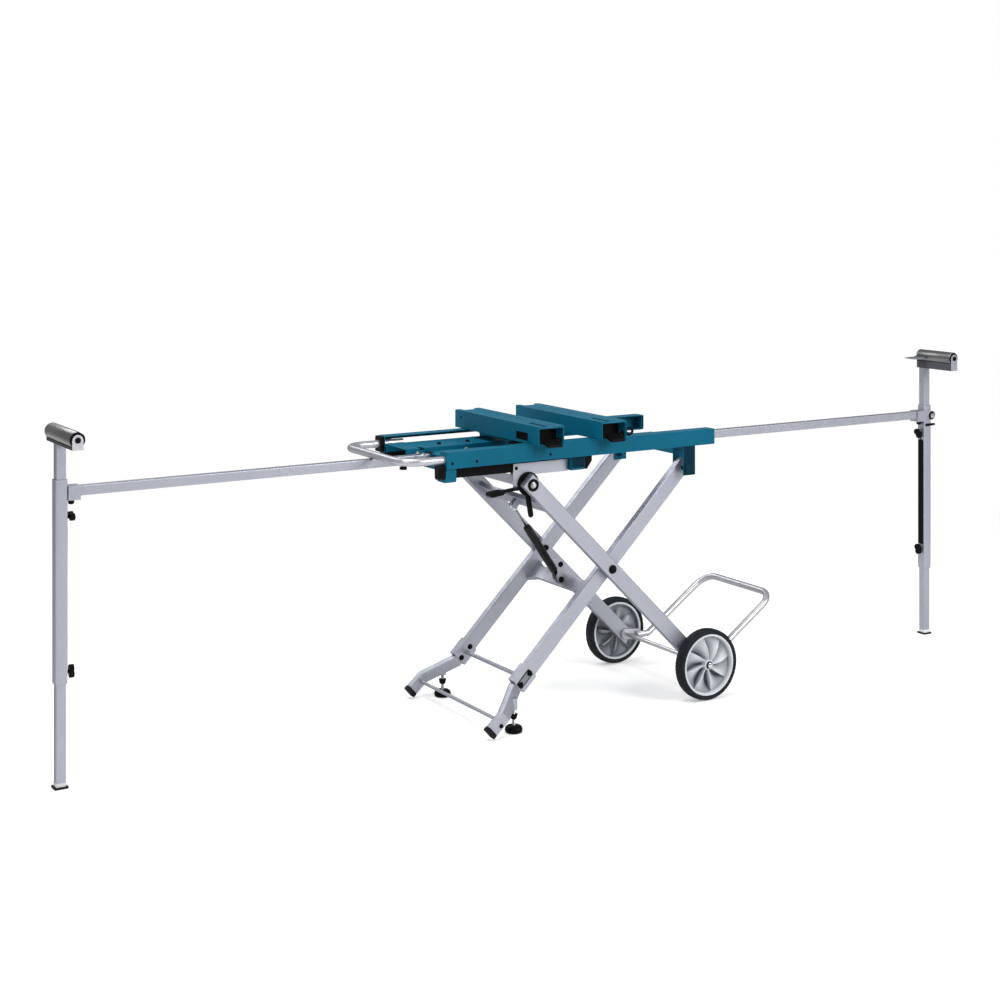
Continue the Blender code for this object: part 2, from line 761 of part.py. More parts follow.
# Hinge pins
hinge_collar = (table_half - BRACKET_PLATE - SLIDE_GAP * 2, inner_leg_y + LEG_THICKNESS / 2 + SLIDE_GAP)
for word, side in SIDES:
    pin = pivot_bolt(fold_pivot_x, pivot_height, table_half + SLIDE_GAP,
                     bracket_inner - BRACKET_PLATE - SLIDE_GAP,
                     [hinge_collar])
    solid(word + "_hinge_pin", [sided(pin, side)], STEEL, smooth=True)

# Bar housing: two square tubes side by side, welded to each other and to a cross member at each end
member_low = under_rail - CROSS_MEMBER_HEIGHT
member_shells = []
for side, end in ((-1, track_inner), (1, bracket_inner - BRACKET_PLATE)):
    x0 = min(side * cross_member_inner, side * (cross_member_inner + CROSS_MEMBER_WIDTH))
    x1 = x0 + CROSS_MEMBER_WIDTH
    loop = [(x0, member_low), (x0, under_rail), (x1, under_rail), (x1, member_low), (x1 - SHEET, member_low),
            (x1 - SHEET, under_rail - SHEET), (x0 + SHEET, under_rail - SHEET), (x0 + SHEET, member_low)]
    member_shells.append(prism(loop, along_y, -end + FIT_GAP, end - FIT_GAP))
housing = solid("bar_housing", member_shells, TEAL)
housing_half = bar_offset + housing_size / 2
notch_half = housing_half - HOUSING_WALL / 2
notch_low = bar_height - housing_size / 2 + HOUSING_WALL / 2
notch_reach = cross_member_inner + CROSS_MEMBER_WIDTH * 2
cut(housing, [block((-notch_reach, notch_reach), (-notch_half, notch_half), (notch_low, TABLE_TOP))])
tube_shells = []
tongue_shells = []
for side in (-1, 1):
    middle = -side * bar_offset
    outer = rounded(housing_size, housing_size, SHEET, middle, bar_height)
    inner = rounded(housing_inner, housing_inner, SHEET / 2, middle, bar_height)
    tube_shells.append(pipe(outer, inner, along_x, -housing_reach, housing_reach))
    floor_low = bar_height - housing_size / 2 + HOUSING_WALL / 8
    floor_high = floor_low + HOUSING_WALL * 0.75
    mouth = side * (housing_reach - TONGUE_WIDTH)
    tip = side * (housing_reach + TONGUE_LENGTH)
    tongue_shells.append(block((min(mouth, tip), max(mouth, tip)),
                               (middle - TONGUE_WIDTH / 2, middle + TONGUE_WIDTH / 2),
                               (floor_low, floor_high)))
join(housing, tube_shells)
seam_reach = housing_reach - SHEET
seam_half = bar_offset - housing_size / 2 + HOUSING_WALL / 2
seam_rise = housing_size / 4
join(housing, tongue_shells + [block((-seam_reach, seam_reach), (-seam_half, seam_half),
                                     (bar_height - seam_rise, bar_height + seam_rise))])

# Spine channel
spine_front = housing_half + FIT_GAP
spine_top = rail_bottom + SPINE_HEIGHT
spine_loop = [
    (spine_front, rail_bottom), (spine_front, spine_top), (spine_rear, spine_top), (spine_rear, rail_bottom),
    (spine_rear - SHEET, rail_bottom), (spine_rear - SHEET, spine_top - SHEET),
    (spine_front + SHEET, spine_top - SHEET), (spine_front + SHEET, rail_bottom)]
spine = solid("spine_channel", [prism(spine_loop, along_x, -rail_half, -rail_half + SPINE_LENGTH)], TEAL)
spine_mid = (spine_front + spine_rear) / 2
spine_hole = prism(circle(SPINE_HOLE_RADIUS, 20, -rail_half + SPINE_HOLE_INSET, spine_mid), along_z,
                   spine_top - SHEET * 2, spine_top + SHEET)
notch_x = -rail_half + SPINE_NOTCH_INSET
spine_notch = block((notch_x, notch_x + SPINE_NOTCH_WIDTH),
                    (spine_front - SHEET, spine_front + SPINE_NOTCH_DEPTH),
                    (spine_top - SHEET * 3, spine_top + SHEET))
cut(spine, [spine_hole, spine_notch])

# Slide tracks
track_left = -rail_half + SHEET
track_loop = [
    (-track_outer, track_low), (-track_outer, under_rail), (-track_inner, under_rail),
    (-track_inner, track_low),
    (-track_inner - SHEET, track_low), (-track_inner - SHEET, under_rail - SHEET),
    (-track_outer + SHEET, under_rail - SHEET), (-track_outer + SHEET, track_low)]
slant = [
    (track_right - TRACK_END_SLANT, track_low - SHEET), (track_right + SHEET, under_rail + SHEET),
    (track_right + SHEET * 5, under_rail + SHEET), (track_right + SHEET * 5, track_low - SHEET)]
for word, side in SIDES:
    track = solid(word + "_slide_track",
                  [sided(prism(track_loop, along_x, track_left, track_right), side)], BLACK)
    cut(track, [sided(prism(slant, along_y, -track_outer - SHEET, -track_inner + SHEET), side)])

# Carriage: a runner and a side plate at each side, joined by a cross beam
slider_origin = (SLIDE_PIVOT_X, 0.0, pivot_height)
face = -carriage_face
inside = face + CARRIAGE_PLATE
floor_top = carriage_bottom + CARRIAGE_PLATE
runner_half = TRACK_WIDTH / 2 - SHEET - SLIDE_GAP
web_half = CARRIAGE_PLATE / 2
slider_loop = [
    (face, carriage_bottom), (face, carriage_top), (inside, carriage_top), (inside, floor_top),
    (-track_centre - web_half, floor_top), (-track_centre - web_half, runner_bottom),
    (-track_centre - runner_half, runner_bottom), (-track_centre - runner_half, runner_top),
    (-track_centre + runner_half, runner_top), (-track_centre + runner_half, runner_bottom),
    (-track_centre + web_half, runner_bottom), (-track_centre + web_half, floor_top),
    (-track_centre + runner_half, floor_top), (-track_centre + runner_half, carriage_bottom)]
carriage = solid("carriage_frame", both(prism(slider_loop, along_x, carriage_left, carriage_right)), SILVER,
                 slider_origin)
lug_skin = CARRIAGE_PLATE / 20
lug_top = carriage_bottom + CARRIAGE_PLATE * 2
lug_low = pivot_height - CARRIAGE_LUG_DROP
lug_left = carriage_left + lug_skin
lug_right = SLIDE_PIVOT_X + CARRIAGE_LUG_DROP
lug_loop = [
    (lug_left, lug_top), (lug_left, lever_pivot_z - LEVER_BARREL_RADIUS),
    (SLIDE_PIVOT_X - CARRIAGE_LUG_DROP / 2, lug_low), (SLIDE_PIVOT_X + CARRIAGE_LUG_DROP / 2, lug_low),
    (lug_right, pivot_height), (lug_right, lug_top)]
join(carriage, both(prism(lug_loop, along_y, face + lug_skin, inside - lug_skin)))
beam_low = carriage_beam_bottom + lug_skin * 2
beam_left = lug_left + lug_skin
beam_half = carriage_face - CARRIAGE_PLATE / 2
join(carriage, [block((beam_left, beam_left + CARRIAGE_PLATE), (-beam_half, beam_half),
                      (beam_low, carriage_bottom + CARRIAGE_PLATE / 2))])
cut(carriage,
    both(hole_y(SLIDE_PIVOT_X, pivot_height, PIVOT_RADIUS + PIN_GAP, face - SHEET, inside + SHEET)))

# Release lever
lever_origin = (lever_pivot_x, 0.0, lever_pivot_z)
lever_tip_x = lever_pivot_x - LEVER_LENGTH
lever_tip_z = lever_pivot_z - LEVER_DROP
lever = solid("release_lever", [prism(circle(LEVER_BARREL_RADIUS, 16, lever_pivot_x, lever_pivot_z), along_y,
                                      -lever_front, -lever_rear)], BLACK, lever_origin)
bar_loop = capsule(lever_tip_x, lever_tip_z, lever_pivot_x, lever_pivot_z, LEVER_HALF)
lever_thin = LEVER_HALF / 8
join(lever, [prism(bar_loop, along_y, -lever_front + lever_thin, -lever_rear - lever_thin)])
grip_share = LEVER_GRIP_LENGTH / LEVER_LENGTH
grip_loop = capsule(lever_tip_x, lever_tip_z, lever_tip_x + LEVER_GRIP_LENGTH,
                    lever_tip_z + LEVER_DROP * grip_share,
                    LEVER_GRIP_HALF)
join(lever, [prism(grip_loop, along_y, -lever_front - LEVER_GRIP_SIDE, -lever_rear + LEVER_GRIP_SIDE)])

# Scissor leg frames
down_left = (-math.cos(alpha), -math.sin(alpha))
up_left = (-math.sin(alpha), math.cos(alpha))
down_right = (math.cos(alpha), -math.sin(alpha))
low_left = (-math.sin(alpha), -math.cos(alpha))
inner_place = link_frame(fold_pivot_x, pivot_height, down_left, up_left)
outer_place = link_frame(SLIDE_PIVOT_X, pivot_height, down_right, low_left)
inner_origin = (fold_pivot_x, 0.0, pivot_height)
outer_origin = (centre_x, 0.0, centre_z)


def leg_pair(name, place, middle, length, origin):
    outside = rounded(LEG_WIDTH, LEG_THICKNESS, LEG_CORNER, 0.0, -middle)
    hollow = rounded(LEG_WIDTH - LEG_WALL * 2, LEG_THICKNESS - LEG_WALL * 2, LEG_CORNER - LEG_WALL / 2, 0.0,
                     -middle)
    legs = solid(name, both(prism(outside, place, -LEG_HEAD, length)), SILVER, origin)
    cut(legs, both(prism(hollow, place, -LEG_HEAD + LEG_WALL, length + LEG_WALL)))
    return legs


def leg_holes(place, middle, spots):
    shells = []
    low = -middle - LEG_THICKNESS
    high = -middle + LEG_THICKNESS
    for spot, radius in spots:
        x, _, z = place(0.0, 0.0, spot)
        shells += both(hole_y(x, z, radius, low, high))
    return shells


def cross_loop(half_length, middle):
    """Outline of a cross plate on Y and the leg's length, wider at both ends."""
    knee = half_length - CROSS_PLATE_INSET
    return [
        (-half_length, middle - CROSS_PLATE_END), (-knee, middle - CROSS_PLATE_MIDDLE),
        (knee, middle - CROSS_PLATE_MIDDLE), (half_length, middle - CROSS_PLATE_END),
        (half_length, middle + CROSS_PLATE_END), (knee, middle + CROSS_PLATE_MIDDLE),
        (-knee, middle + CROSS_PLATE_MIDDLE), (-half_length, middle + CROSS_PLATE_END)]


# Inner legs, their cross plate and the two ears that hold the strut's foot pin
pivot_hole = PIVOT_RADIUS + PIN_GAP
weld_in = LEG_WALL / 2
strut_foot = half_link + STRUT_FOOT_PLACE
inner_half = inner_leg_y - LEG_THICKNESS / 2 + weld_in
inner_frame = leg_pair("inner_leg_frame", inner_place, inner_leg_y, inner_leg_length, inner_origin)
join(inner_frame, [prism(cross_loop(inner_half, strut_foot), swap(inner_place), plate_low, plate_top)])
foot_ear = capsule(plate_top - CROSS_PLATE_THICKNESS / 2, strut_foot, STRUT_FOOT_RISE, strut_foot,
                   STRUT_EYE_RADIUS)
join(inner_frame, both(prism(foot_ear, side_place(inner_place), ear_inner, ear_inner + EAR_PLATE)))
pin_x, _, pin_z = inner_place(STRUT_FOOT_RISE, 0.0, strut_foot)
pin_half = ear_inner + EAR_PLATE / 2
join(inner_frame, [hole_y(pin_x, pin_z, STRUT_PIN_RADIUS, -pin_half, pin_half, 16)])
cut(inner_frame, leg_holes(inner_place, inner_leg_y, [(0.0, pivot_hole), (half_link, pivot_hole)]))

# Outer legs, their cross plate and the ears beside the strut's upper eye
outer_half = outer_leg_y - LEG_THICKNESS / 2 + weld_in
outer_frame = leg_pair("outer_leg_frame", outer_place, outer_leg_y, axle_place + OUTER_LEG_TAIL,
                       outer_origin)
join(outer_frame,
     [prism(cross_loop(outer_half, STRUT_HEAD_PLACE), swap(outer_place), -CROSS_PLATE_THICKNESS / 2,
                         CROSS_PLATE_THICKNESS / 2)])
head_ear = capsule(0.0, STRUT_HEAD_PLACE, STRUT_HEAD_DROP, STRUT_HEAD_PLACE, ROD_EYE_RADIUS)
join(outer_frame, both(prism(head_ear, side_place(outer_place), rod_ear_inner, rod_ear_inner + EAR_PLATE)))
cut(outer_frame, leg_holes(outer_place, outer_leg_y, [(0.0, pivot_hole), (half_link, pivot_hole),
                                                      (axle_place, AXLE_RADIUS + PIN_GAP)]))

# Pivot bolts of the scissor and of the carriage
centre_collar = (leg_gap_outer - SLIDE_GAP, leg_gap_inner + SLIDE_GAP)
for word, side in SIDES:
    bolt = pivot_bolt(centre_x, centre_z, leg_outer_face + SLIDE_GAP,
                      inner_leg_y - LEG_THICKNESS / 2 - SLIDE_GAP,
                      [centre_collar])
    solid(word + "_centre_bolt", [sided(bolt, side)], STEEL, outer_origin, smooth=True)
    bolt = pivot_bolt(SLIDE_PIVOT_X, pivot_height, leg_outer_face + SLIDE_GAP,
                      carriage_face - CARRIAGE_PLATE - SLIDE_GAP, [])
    solid(word + "_carriage_bolt", [sided(bolt, side)], STEEL, outer_origin, smooth=True)

# Latch arm beside the sliding pivot
latch_inner = latch_y - LATCH_THICKNESS
latch = solid("latch_arm", [prism(circle(LATCH_RADIUS, 20, SLIDE_PIVOT_X, pivot_height), along_y, -latch_y,
                                  -latch_inner)], BLACK, outer_origin)
latch_tip_x = SLIDE_PIVOT_X + LATCH_WIDTH / 2
latch_loop = capsule(SLIDE_PIVOT_X - LATCH_WIDTH / 2, pivot_height, latch_tip_x, pivot_height - LATCH_REACH,
                     LATCH_WIDTH / 2)
latch_thin = LATCH_THICKNESS / 10
join(latch, [prism(latch_loop, along_y, -latch_y + latch_thin, -latch_inner - latch_thin)])
cut(latch, [hole_y(SLIDE_PIVOT_X, pivot_height, pivot_hole, -latch_y - SHEET, -latch_inner + SHEET)])

# Gas strut
head_x, _, head_z = outer_place(STRUT_HEAD_DROP, 0.0, STRUT_HEAD_PLACE)
strut_span = math.hypot(head_x - pin_x, head_z - pin_z)
strut_dir = ((head_x - pin_x) / strut_span, 0.0, (head_z - pin_z) / strut_span)
foot_point = (pin_x, 0.0, pin_z)
strut_end = strut_span - ROD_SHOWN
tube_profile = [(STRUT_RADIUS * 0.7, STRUT_NECK / 4), (STRUT_RADIUS * 0.7, STRUT_NECK),
                (STRUT_RADIUS, STRUT_NECK)]
tube_profile += [(STRUT_RADIUS, strut_end - strut_bore), (STRUT_RADIUS * 0.85, strut_end)]
cylinder = solid("strut_cylinder", [turned(tube_profile, foot_point, strut_dir, 18)], BLACK, foot_point,
                 smooth=True)
join(cylinder, [hole_y(pin_x, pin_z, STRUT_EYE_RADIUS, -STRUT_EYE_HALF, STRUT_EYE_HALF)])
cut(cylinder,
    [hole_y(pin_x, pin_z, STRUT_PIN_RADIUS + PIN_GAP, -STRUT_EYE_HALF * 2, STRUT_EYE_HALF * 2, 16)])
cut(cylinder,
    [turned([(strut_bore, STRUT_BORE_START), (strut_bore, strut_end + strut_bore)], foot_point, strut_dir,
            16)])
rod_start = strut_end - ROD_GRIP
rod_profile = [(STRUT_ROD_RADIUS, rod_start), (STRUT_ROD_RADIUS, strut_span - ROD_EYE_RADIUS / 2)]
rod = solid("strut_rod", [turned(rod_profile, foot_point, strut_dir, 16)], STEEL, foot_point, smooth=True)
rod_eye_half = ROD_EYE_HALF + STRUT_ROD_RADIUS / 20
join(rod, [hole_y(head_x, head_z, ROD_EYE_RADIUS, -rod_eye_half, rod_eye_half)])

# Foot sleeves with the upper cross rod between them
sleeve_outer = rounded(LEG_WIDTH + SLEEVE_WALL * 2 + FIT_GAP * 2,
                       LEG_THICKNESS + SLEEVE_WALL * 2 + FIT_GAP * 2,
                       LEG_CORNER, 0.0, -inner_leg_y)
sleeve_inner = rounded(LEG_WIDTH + FIT_GAP * 2, LEG_THICKNESS + FIT_GAP * 2, LEG_CORNER - LEG_WALL / 2, 0.0,
                       -inner_leg_y)
sleeves = solid("foot_sleeves",
                both(pipe(sleeve_outer, sleeve_inner, inner_place, sleeve_start, sleeve_end)), SILVER,
                inner_origin)
rod_half = inner_leg_y - LEG_THICKNESS / 2 - FIT_GAP - SLEEVE_WALL / 2
upper_x, _, upper_z = inner_place(0.0, 0.0, inner_leg_length - UPPER_ROD_INSET)
join(sleeves, [prism(circle(UPPER_ROD_RADIUS, 16, upper_x, upper_z), along_y, -rod_half, rod_half)])
window_half = SLEEVE_LENGTH / 4
window_mid = (sleeve_start + sleeve_end) / 2
window = [(-window_half / 2, window_mid - window_half), (window_half / 2, window_mid - window_half),
          (window_half / 2, window_mid + window_half), (-window_half / 2, window_mid + window_half)]
sleeve_face = inner_leg_y + LEG_THICKNESS / 2
cut(sleeves,
    both(prism(window, side_place(inner_place), -sleeve_face - SLEEVE_WALL * 2, -sleeve_face - FIT_GAP / 2)))

# Bent foot tubes with the lower cross rod between them
foot_start = inner_place(0.0, 0.0, inner_leg_length + FIT_GAP)
foot_path = [
    (foot_start[0], -inner_leg_y, foot_start[2]), (bend_x, -inner_leg_y, bend_z),
    (knee_x, -toe_y, KNEE_HEIGHT), (toe_x, -toe_y, TOE_HEIGHT)]
foot_loop = rounded(LEG_THICKNESS, foot_width, LEG_CORNER)
feet = solid("foot_frame", both(swept(foot_path, foot_loop, (-1.0, 0.0, 1.0))), SILVER, inner_origin)
low_half = toe_y - LEG_THICKNESS / 4
join(feet, [prism(circle(LOWER_ROD_RADIUS, 16, lower_rod_x, lower_rod_z), along_y, -low_half, low_half)])
toe_run = math.hypot(toe_x - knee_x, TOE_HEIGHT - KNEE_HEIGHT)
toe_dir = ((toe_x - knee_x) / toe_run, (TOE_HEIGHT - KNEE_HEIGHT) / toe_run)
toe_place = link_frame(toe_x, TOE_HEIGHT, toe_dir, (toe_dir[1], -toe_dir[0]))
cap_loop = rounded(foot_width + TOE_CAP_LIP, LEG_THICKNESS + TOE_CAP_LIP, LEG_CORNER, 0.0, -toe_y)
for word, side in SIDES:
    solid(word + "_toe_cap", [sided(prism(cap_loop, toe_place, FIT_GAP, TOE_CAP_LENGTH), side)], RUBBER,
          inner_origin)

# Levelling feet, whose stems turn in bosses under the foot tubes
level_stem_top = level_boss_low + LEVEL_STEM_GRIP
level_nut_high = level_boss_low - LEVEL_TRAVEL - SLIDE_GAP
level_nut_low = level_nut_high - LEVEL_NUT_HEIGHT
bosses = []
boss_holes = []
for side in (-1, 1):
    boss_loop = circle(LEVEL_BOSS_RADIUS, 16, level_x, side * level_y)
    bosses.append(prism(boss_loop, along_z, level_boss_low, level_boss_low + LEVEL_BOSS_HEIGHT))
    hole_loop = circle(LEVEL_STEM_RADIUS + SLIDE_GAP, 16, level_x, side * level_y)
    boss_holes.append(prism(hole_loop, along_z, level_boss_low - SHEET,
                            level_stem_top + LEVEL_TRAVEL + SLIDE_GAP))
join(feet, bosses)
cut(feet, boss_holes)
level_profile = [
    (LEVEL_DISC_RADIUS * 0.86, 0.0), (LEVEL_DISC_RADIUS, LEVEL_DISC_HEIGHT * 0.2),
    (LEVEL_DISC_RADIUS, LEVEL_DISC_HEIGHT * 0.55), (LEVEL_DISC_RADIUS * 0.8, LEVEL_DISC_HEIGHT * 0.85),
    (LEVEL_STEM_RADIUS * 1.8, LEVEL_DISC_HEIGHT),
    (LEVEL_STEM_RADIUS, LEVEL_DISC_HEIGHT), (LEVEL_STEM_RADIUS, level_nut_low),
    (LEVEL_NUT_RADIUS * 0.6, level_nut_low), (LEVEL_NUT_RADIUS, level_nut_high),
    (LEVEL_STEM_RADIUS, level_nut_high), (LEVEL_STEM_RADIUS, level_stem_top)]
for word, side in SIDES:
    spot = (level_x, side * level_y, 0.0)
    solid(word + "_levelling_foot", [turned(level_profile, spot, (0.0, 0.0, 1.0), 18)], BLACK, spot,
          smooth=True)

# Axle and ground loop
hub_face = wheel_y + BOSS_HALF
hub_back = wheel_y - BOSS_HALF
axle_half = hub_face + SLIDE_GAP
axle_cap = axle_half + AXLE_CAP_HEIGHT
axle_right = [
    (AXLE_RADIUS, 0.0), (AXLE_RADIUS, leg_outer_face + SLIDE_GAP), (AXLE_COLLAR, leg_outer_face + SLIDE_GAP),
    (AXLE_COLLAR, hub_back - SLIDE_GAP), (AXLE_RADIUS, hub_back - SLIDE_GAP), (AXLE_RADIUS, axle_half),
    (AXLE_COLLAR, axle_half), (AXLE_COLLAR * 0.8, axle_cap)]
axle_left = [(radius, -distance) for radius, distance in reversed(axle_right[1:])]
solid("wheel_axle", [turned(axle_left + axle_right, (AXLE_X, 0.0, WHEEL_RADIUS), (0.0, 1.0, 0.0), 14)],
      STEEL,
      outer_origin, smooth=True)
loop_path = bent_path(
    [(loop_knee_x, -loop_y, loop_start_z), (loop_end_x, -loop_y, loop_end_z),
     (loop_end_x, loop_y, loop_end_z), (loop_knee_x, loop_y, loop_start_z)], LOOP_BEND)
loop_path = [(loop_start_x, -loop_y, loop_start_z)] + loop_path + [(loop_start_x, loop_y, loop_start_z)]
loop_normal = (loop_start_z - loop_end_z, 0.0, loop_end_x - loop_knee_x)
loop = solid("ground_loop", [swept(loop_path, circle(LOOP_RADIUS, 14), loop_normal)], SILVER, outer_origin,
             smooth=True)
loop_plate = capsule(AXLE_X, WHEEL_RADIUS, loop_start_x + LOOP_RADIUS, loop_start_z, LOOP_PLATE_RADIUS)
join(loop, both(prism(loop_plate, along_y, loop_plate_inner, loop_plate_outer)))
cut(loop,
    both(hole_y(AXLE_X, WHEEL_RADIUS, AXLE_RADIUS + PIN_GAP, loop_plate_inner - SHEET,
                leg_gap_outer + SHEET)))

# Wheels
vane_steps = (0.0, 0.3, 0.6, 0.92)


def make_hub(name, side):
    rim_half = RIM_WIDTH / 2
    rim_inner = hub_radius - RIM_DEPTH
    bore = AXLE_RADIUS + PIN_GAP
    web_low = BOSS_RADIUS + WEB_HALF
    web_high = rim_inner - WEB_HALF / 2
    rows = [
        (bore, -BOSS_HALF, 0), (bore, BOSS_HALF, 0), (BOSS_RADIUS, BOSS_HALF, 0), (BOSS_RADIUS, WEB_HALF, 0),
        (web_low, WEB_HALF, 1), (web_high, WEB_HALF, 1), (rim_inner, WEB_HALF, 0), (rim_inner, rim_half, 0),
        (hub_radius, rim_half, 0), (hub_radius, -rim_half, 0), (rim_inner, -rim_half, 0),
        (rim_inner, -WEB_HALF, 0),
        (web_high, -WEB_HALF, 1), (web_low, -WEB_HALF, 1), (BOSS_RADIUS, -WEB_HALF, 0),
        (BOSS_RADIUS, -BOSS_HALF, 0)]
    angles = []
    for vane in range(VANES):
        for step in vane_steps:
            angles.append((2 * math.pi * (vane + step) / VANES, VANE_RISE * (1 - 2 * step / vane_steps[-1])))
    points = []
    for radius, height, rides in rows:
        for angle, rise in angles:
            x = AXLE_X + radius * math.cos(angle)
            z = WHEEL_RADIUS + radius * math.sin(angle)
            points.append((x, side * wheel_y - (height + rides * rise), z))
    count = len(angles)
    faces = []
    for row in range(len(rows)):
        nxt_row = (row + 1) % len(rows)
        for k in range(count):
            nxt = (k + 1) % count
            faces.append((row * count + k, row * count + nxt, nxt_row * count + nxt, nxt_row * count + k))
    solid(name, [(points, faces)], HUB, (AXLE_X, side * wheel_y, WHEEL_RADIUS))


def make_tyre(name, side):
    inner = hub_radius + SLIDE_GAP
    half = TYRE_WIDTH / 2
    crown = WHEEL_RADIUS - inner
    profile = [
        (inner, -half * 0.85), (inner + crown * 0.35, -half), (inner + crown * 0.75, -half * 0.86),
        (WHEEL_RADIUS, -half * 0.5), (WHEEL_RADIUS, half * 0.5), (inner + crown * 0.75, half * 0.86),
        (inner + crown * 0.35, half), (inner, half * 0.85)]
    count = 40
    points = []
    for radius, height in profile:
        for k in range(count):
            angle = 2 * math.pi * (k + 0.5) / count
            points.append((AXLE_X + radius * math.cos(angle), side * wheel_y + height,
                           WHEEL_RADIUS + radius * math.sin(angle)))
    faces = []
    for row in range(len(profile)):
        nxt_row = (row + 1) % len(profile)
        for k in range(count):
            nxt = (k + 1) % count
            faces.append((row * count + k, row * count + nxt, nxt_row * count + nxt, nxt_row * count + k))
    solid(name, [(points, faces)], RUBBER, (AXLE_X, side * wheel_y, WHEEL_RADIUS), smooth=True)


for word, side in SIDES:
    make_hub(word + "_wheel_hub", side)
    make_tyre(word + "_tyre", side)


# Side supports
def winged(reach, waist, tilt, u, v):
    """The outline of a two-winged thumb grip, with its wings along a tilted line."""
    points = []
    for k in range(24):
        angle = 2 * math.pi * k / 24
        far = math.hypot(reach * math.cos(angle), waist * math.sin(angle))
        points.append((u + far * math.sin(angle + tilt), v + far * math.cos(angle + tilt)))
    return points


def lobed(radius, lobe, u, v):
    points = []
    for k in range(25):
        angle = 2 * math.pi * k / 25
        reach = radius - lobe + lobe * math.cos(5 * angle)
        points.append((u + reach * math.cos(angle), v + reach * math.sin(angle)))
    return points


def make_knob(name, x, y, z, side, tilt):
    """A winged thumb knob whose stem points along X, away from the pole."""
    stem_low = x + side * FIT_GAP
    stem_high = stem_low + side * (KNOB_STEM + SHEET)
    head_low = stem_low + side * KNOB_STEM
    head_high = head_low + side * KNOB_HEIGHT
    stem = prism(circle(KNOB_STEM_RADIUS, 16, y, z), along_x, min(stem_low, stem_high),
                 max(stem_low, stem_high))
    head = prism(winged(KNOB_WING, KNOB_WAIST, tilt, y, z), along_x, min(head_low, head_high),
                 max(head_low, head_high))
    knob = solid(name, [head], BLACK, (x, y, z))
    join(knob, [stem])


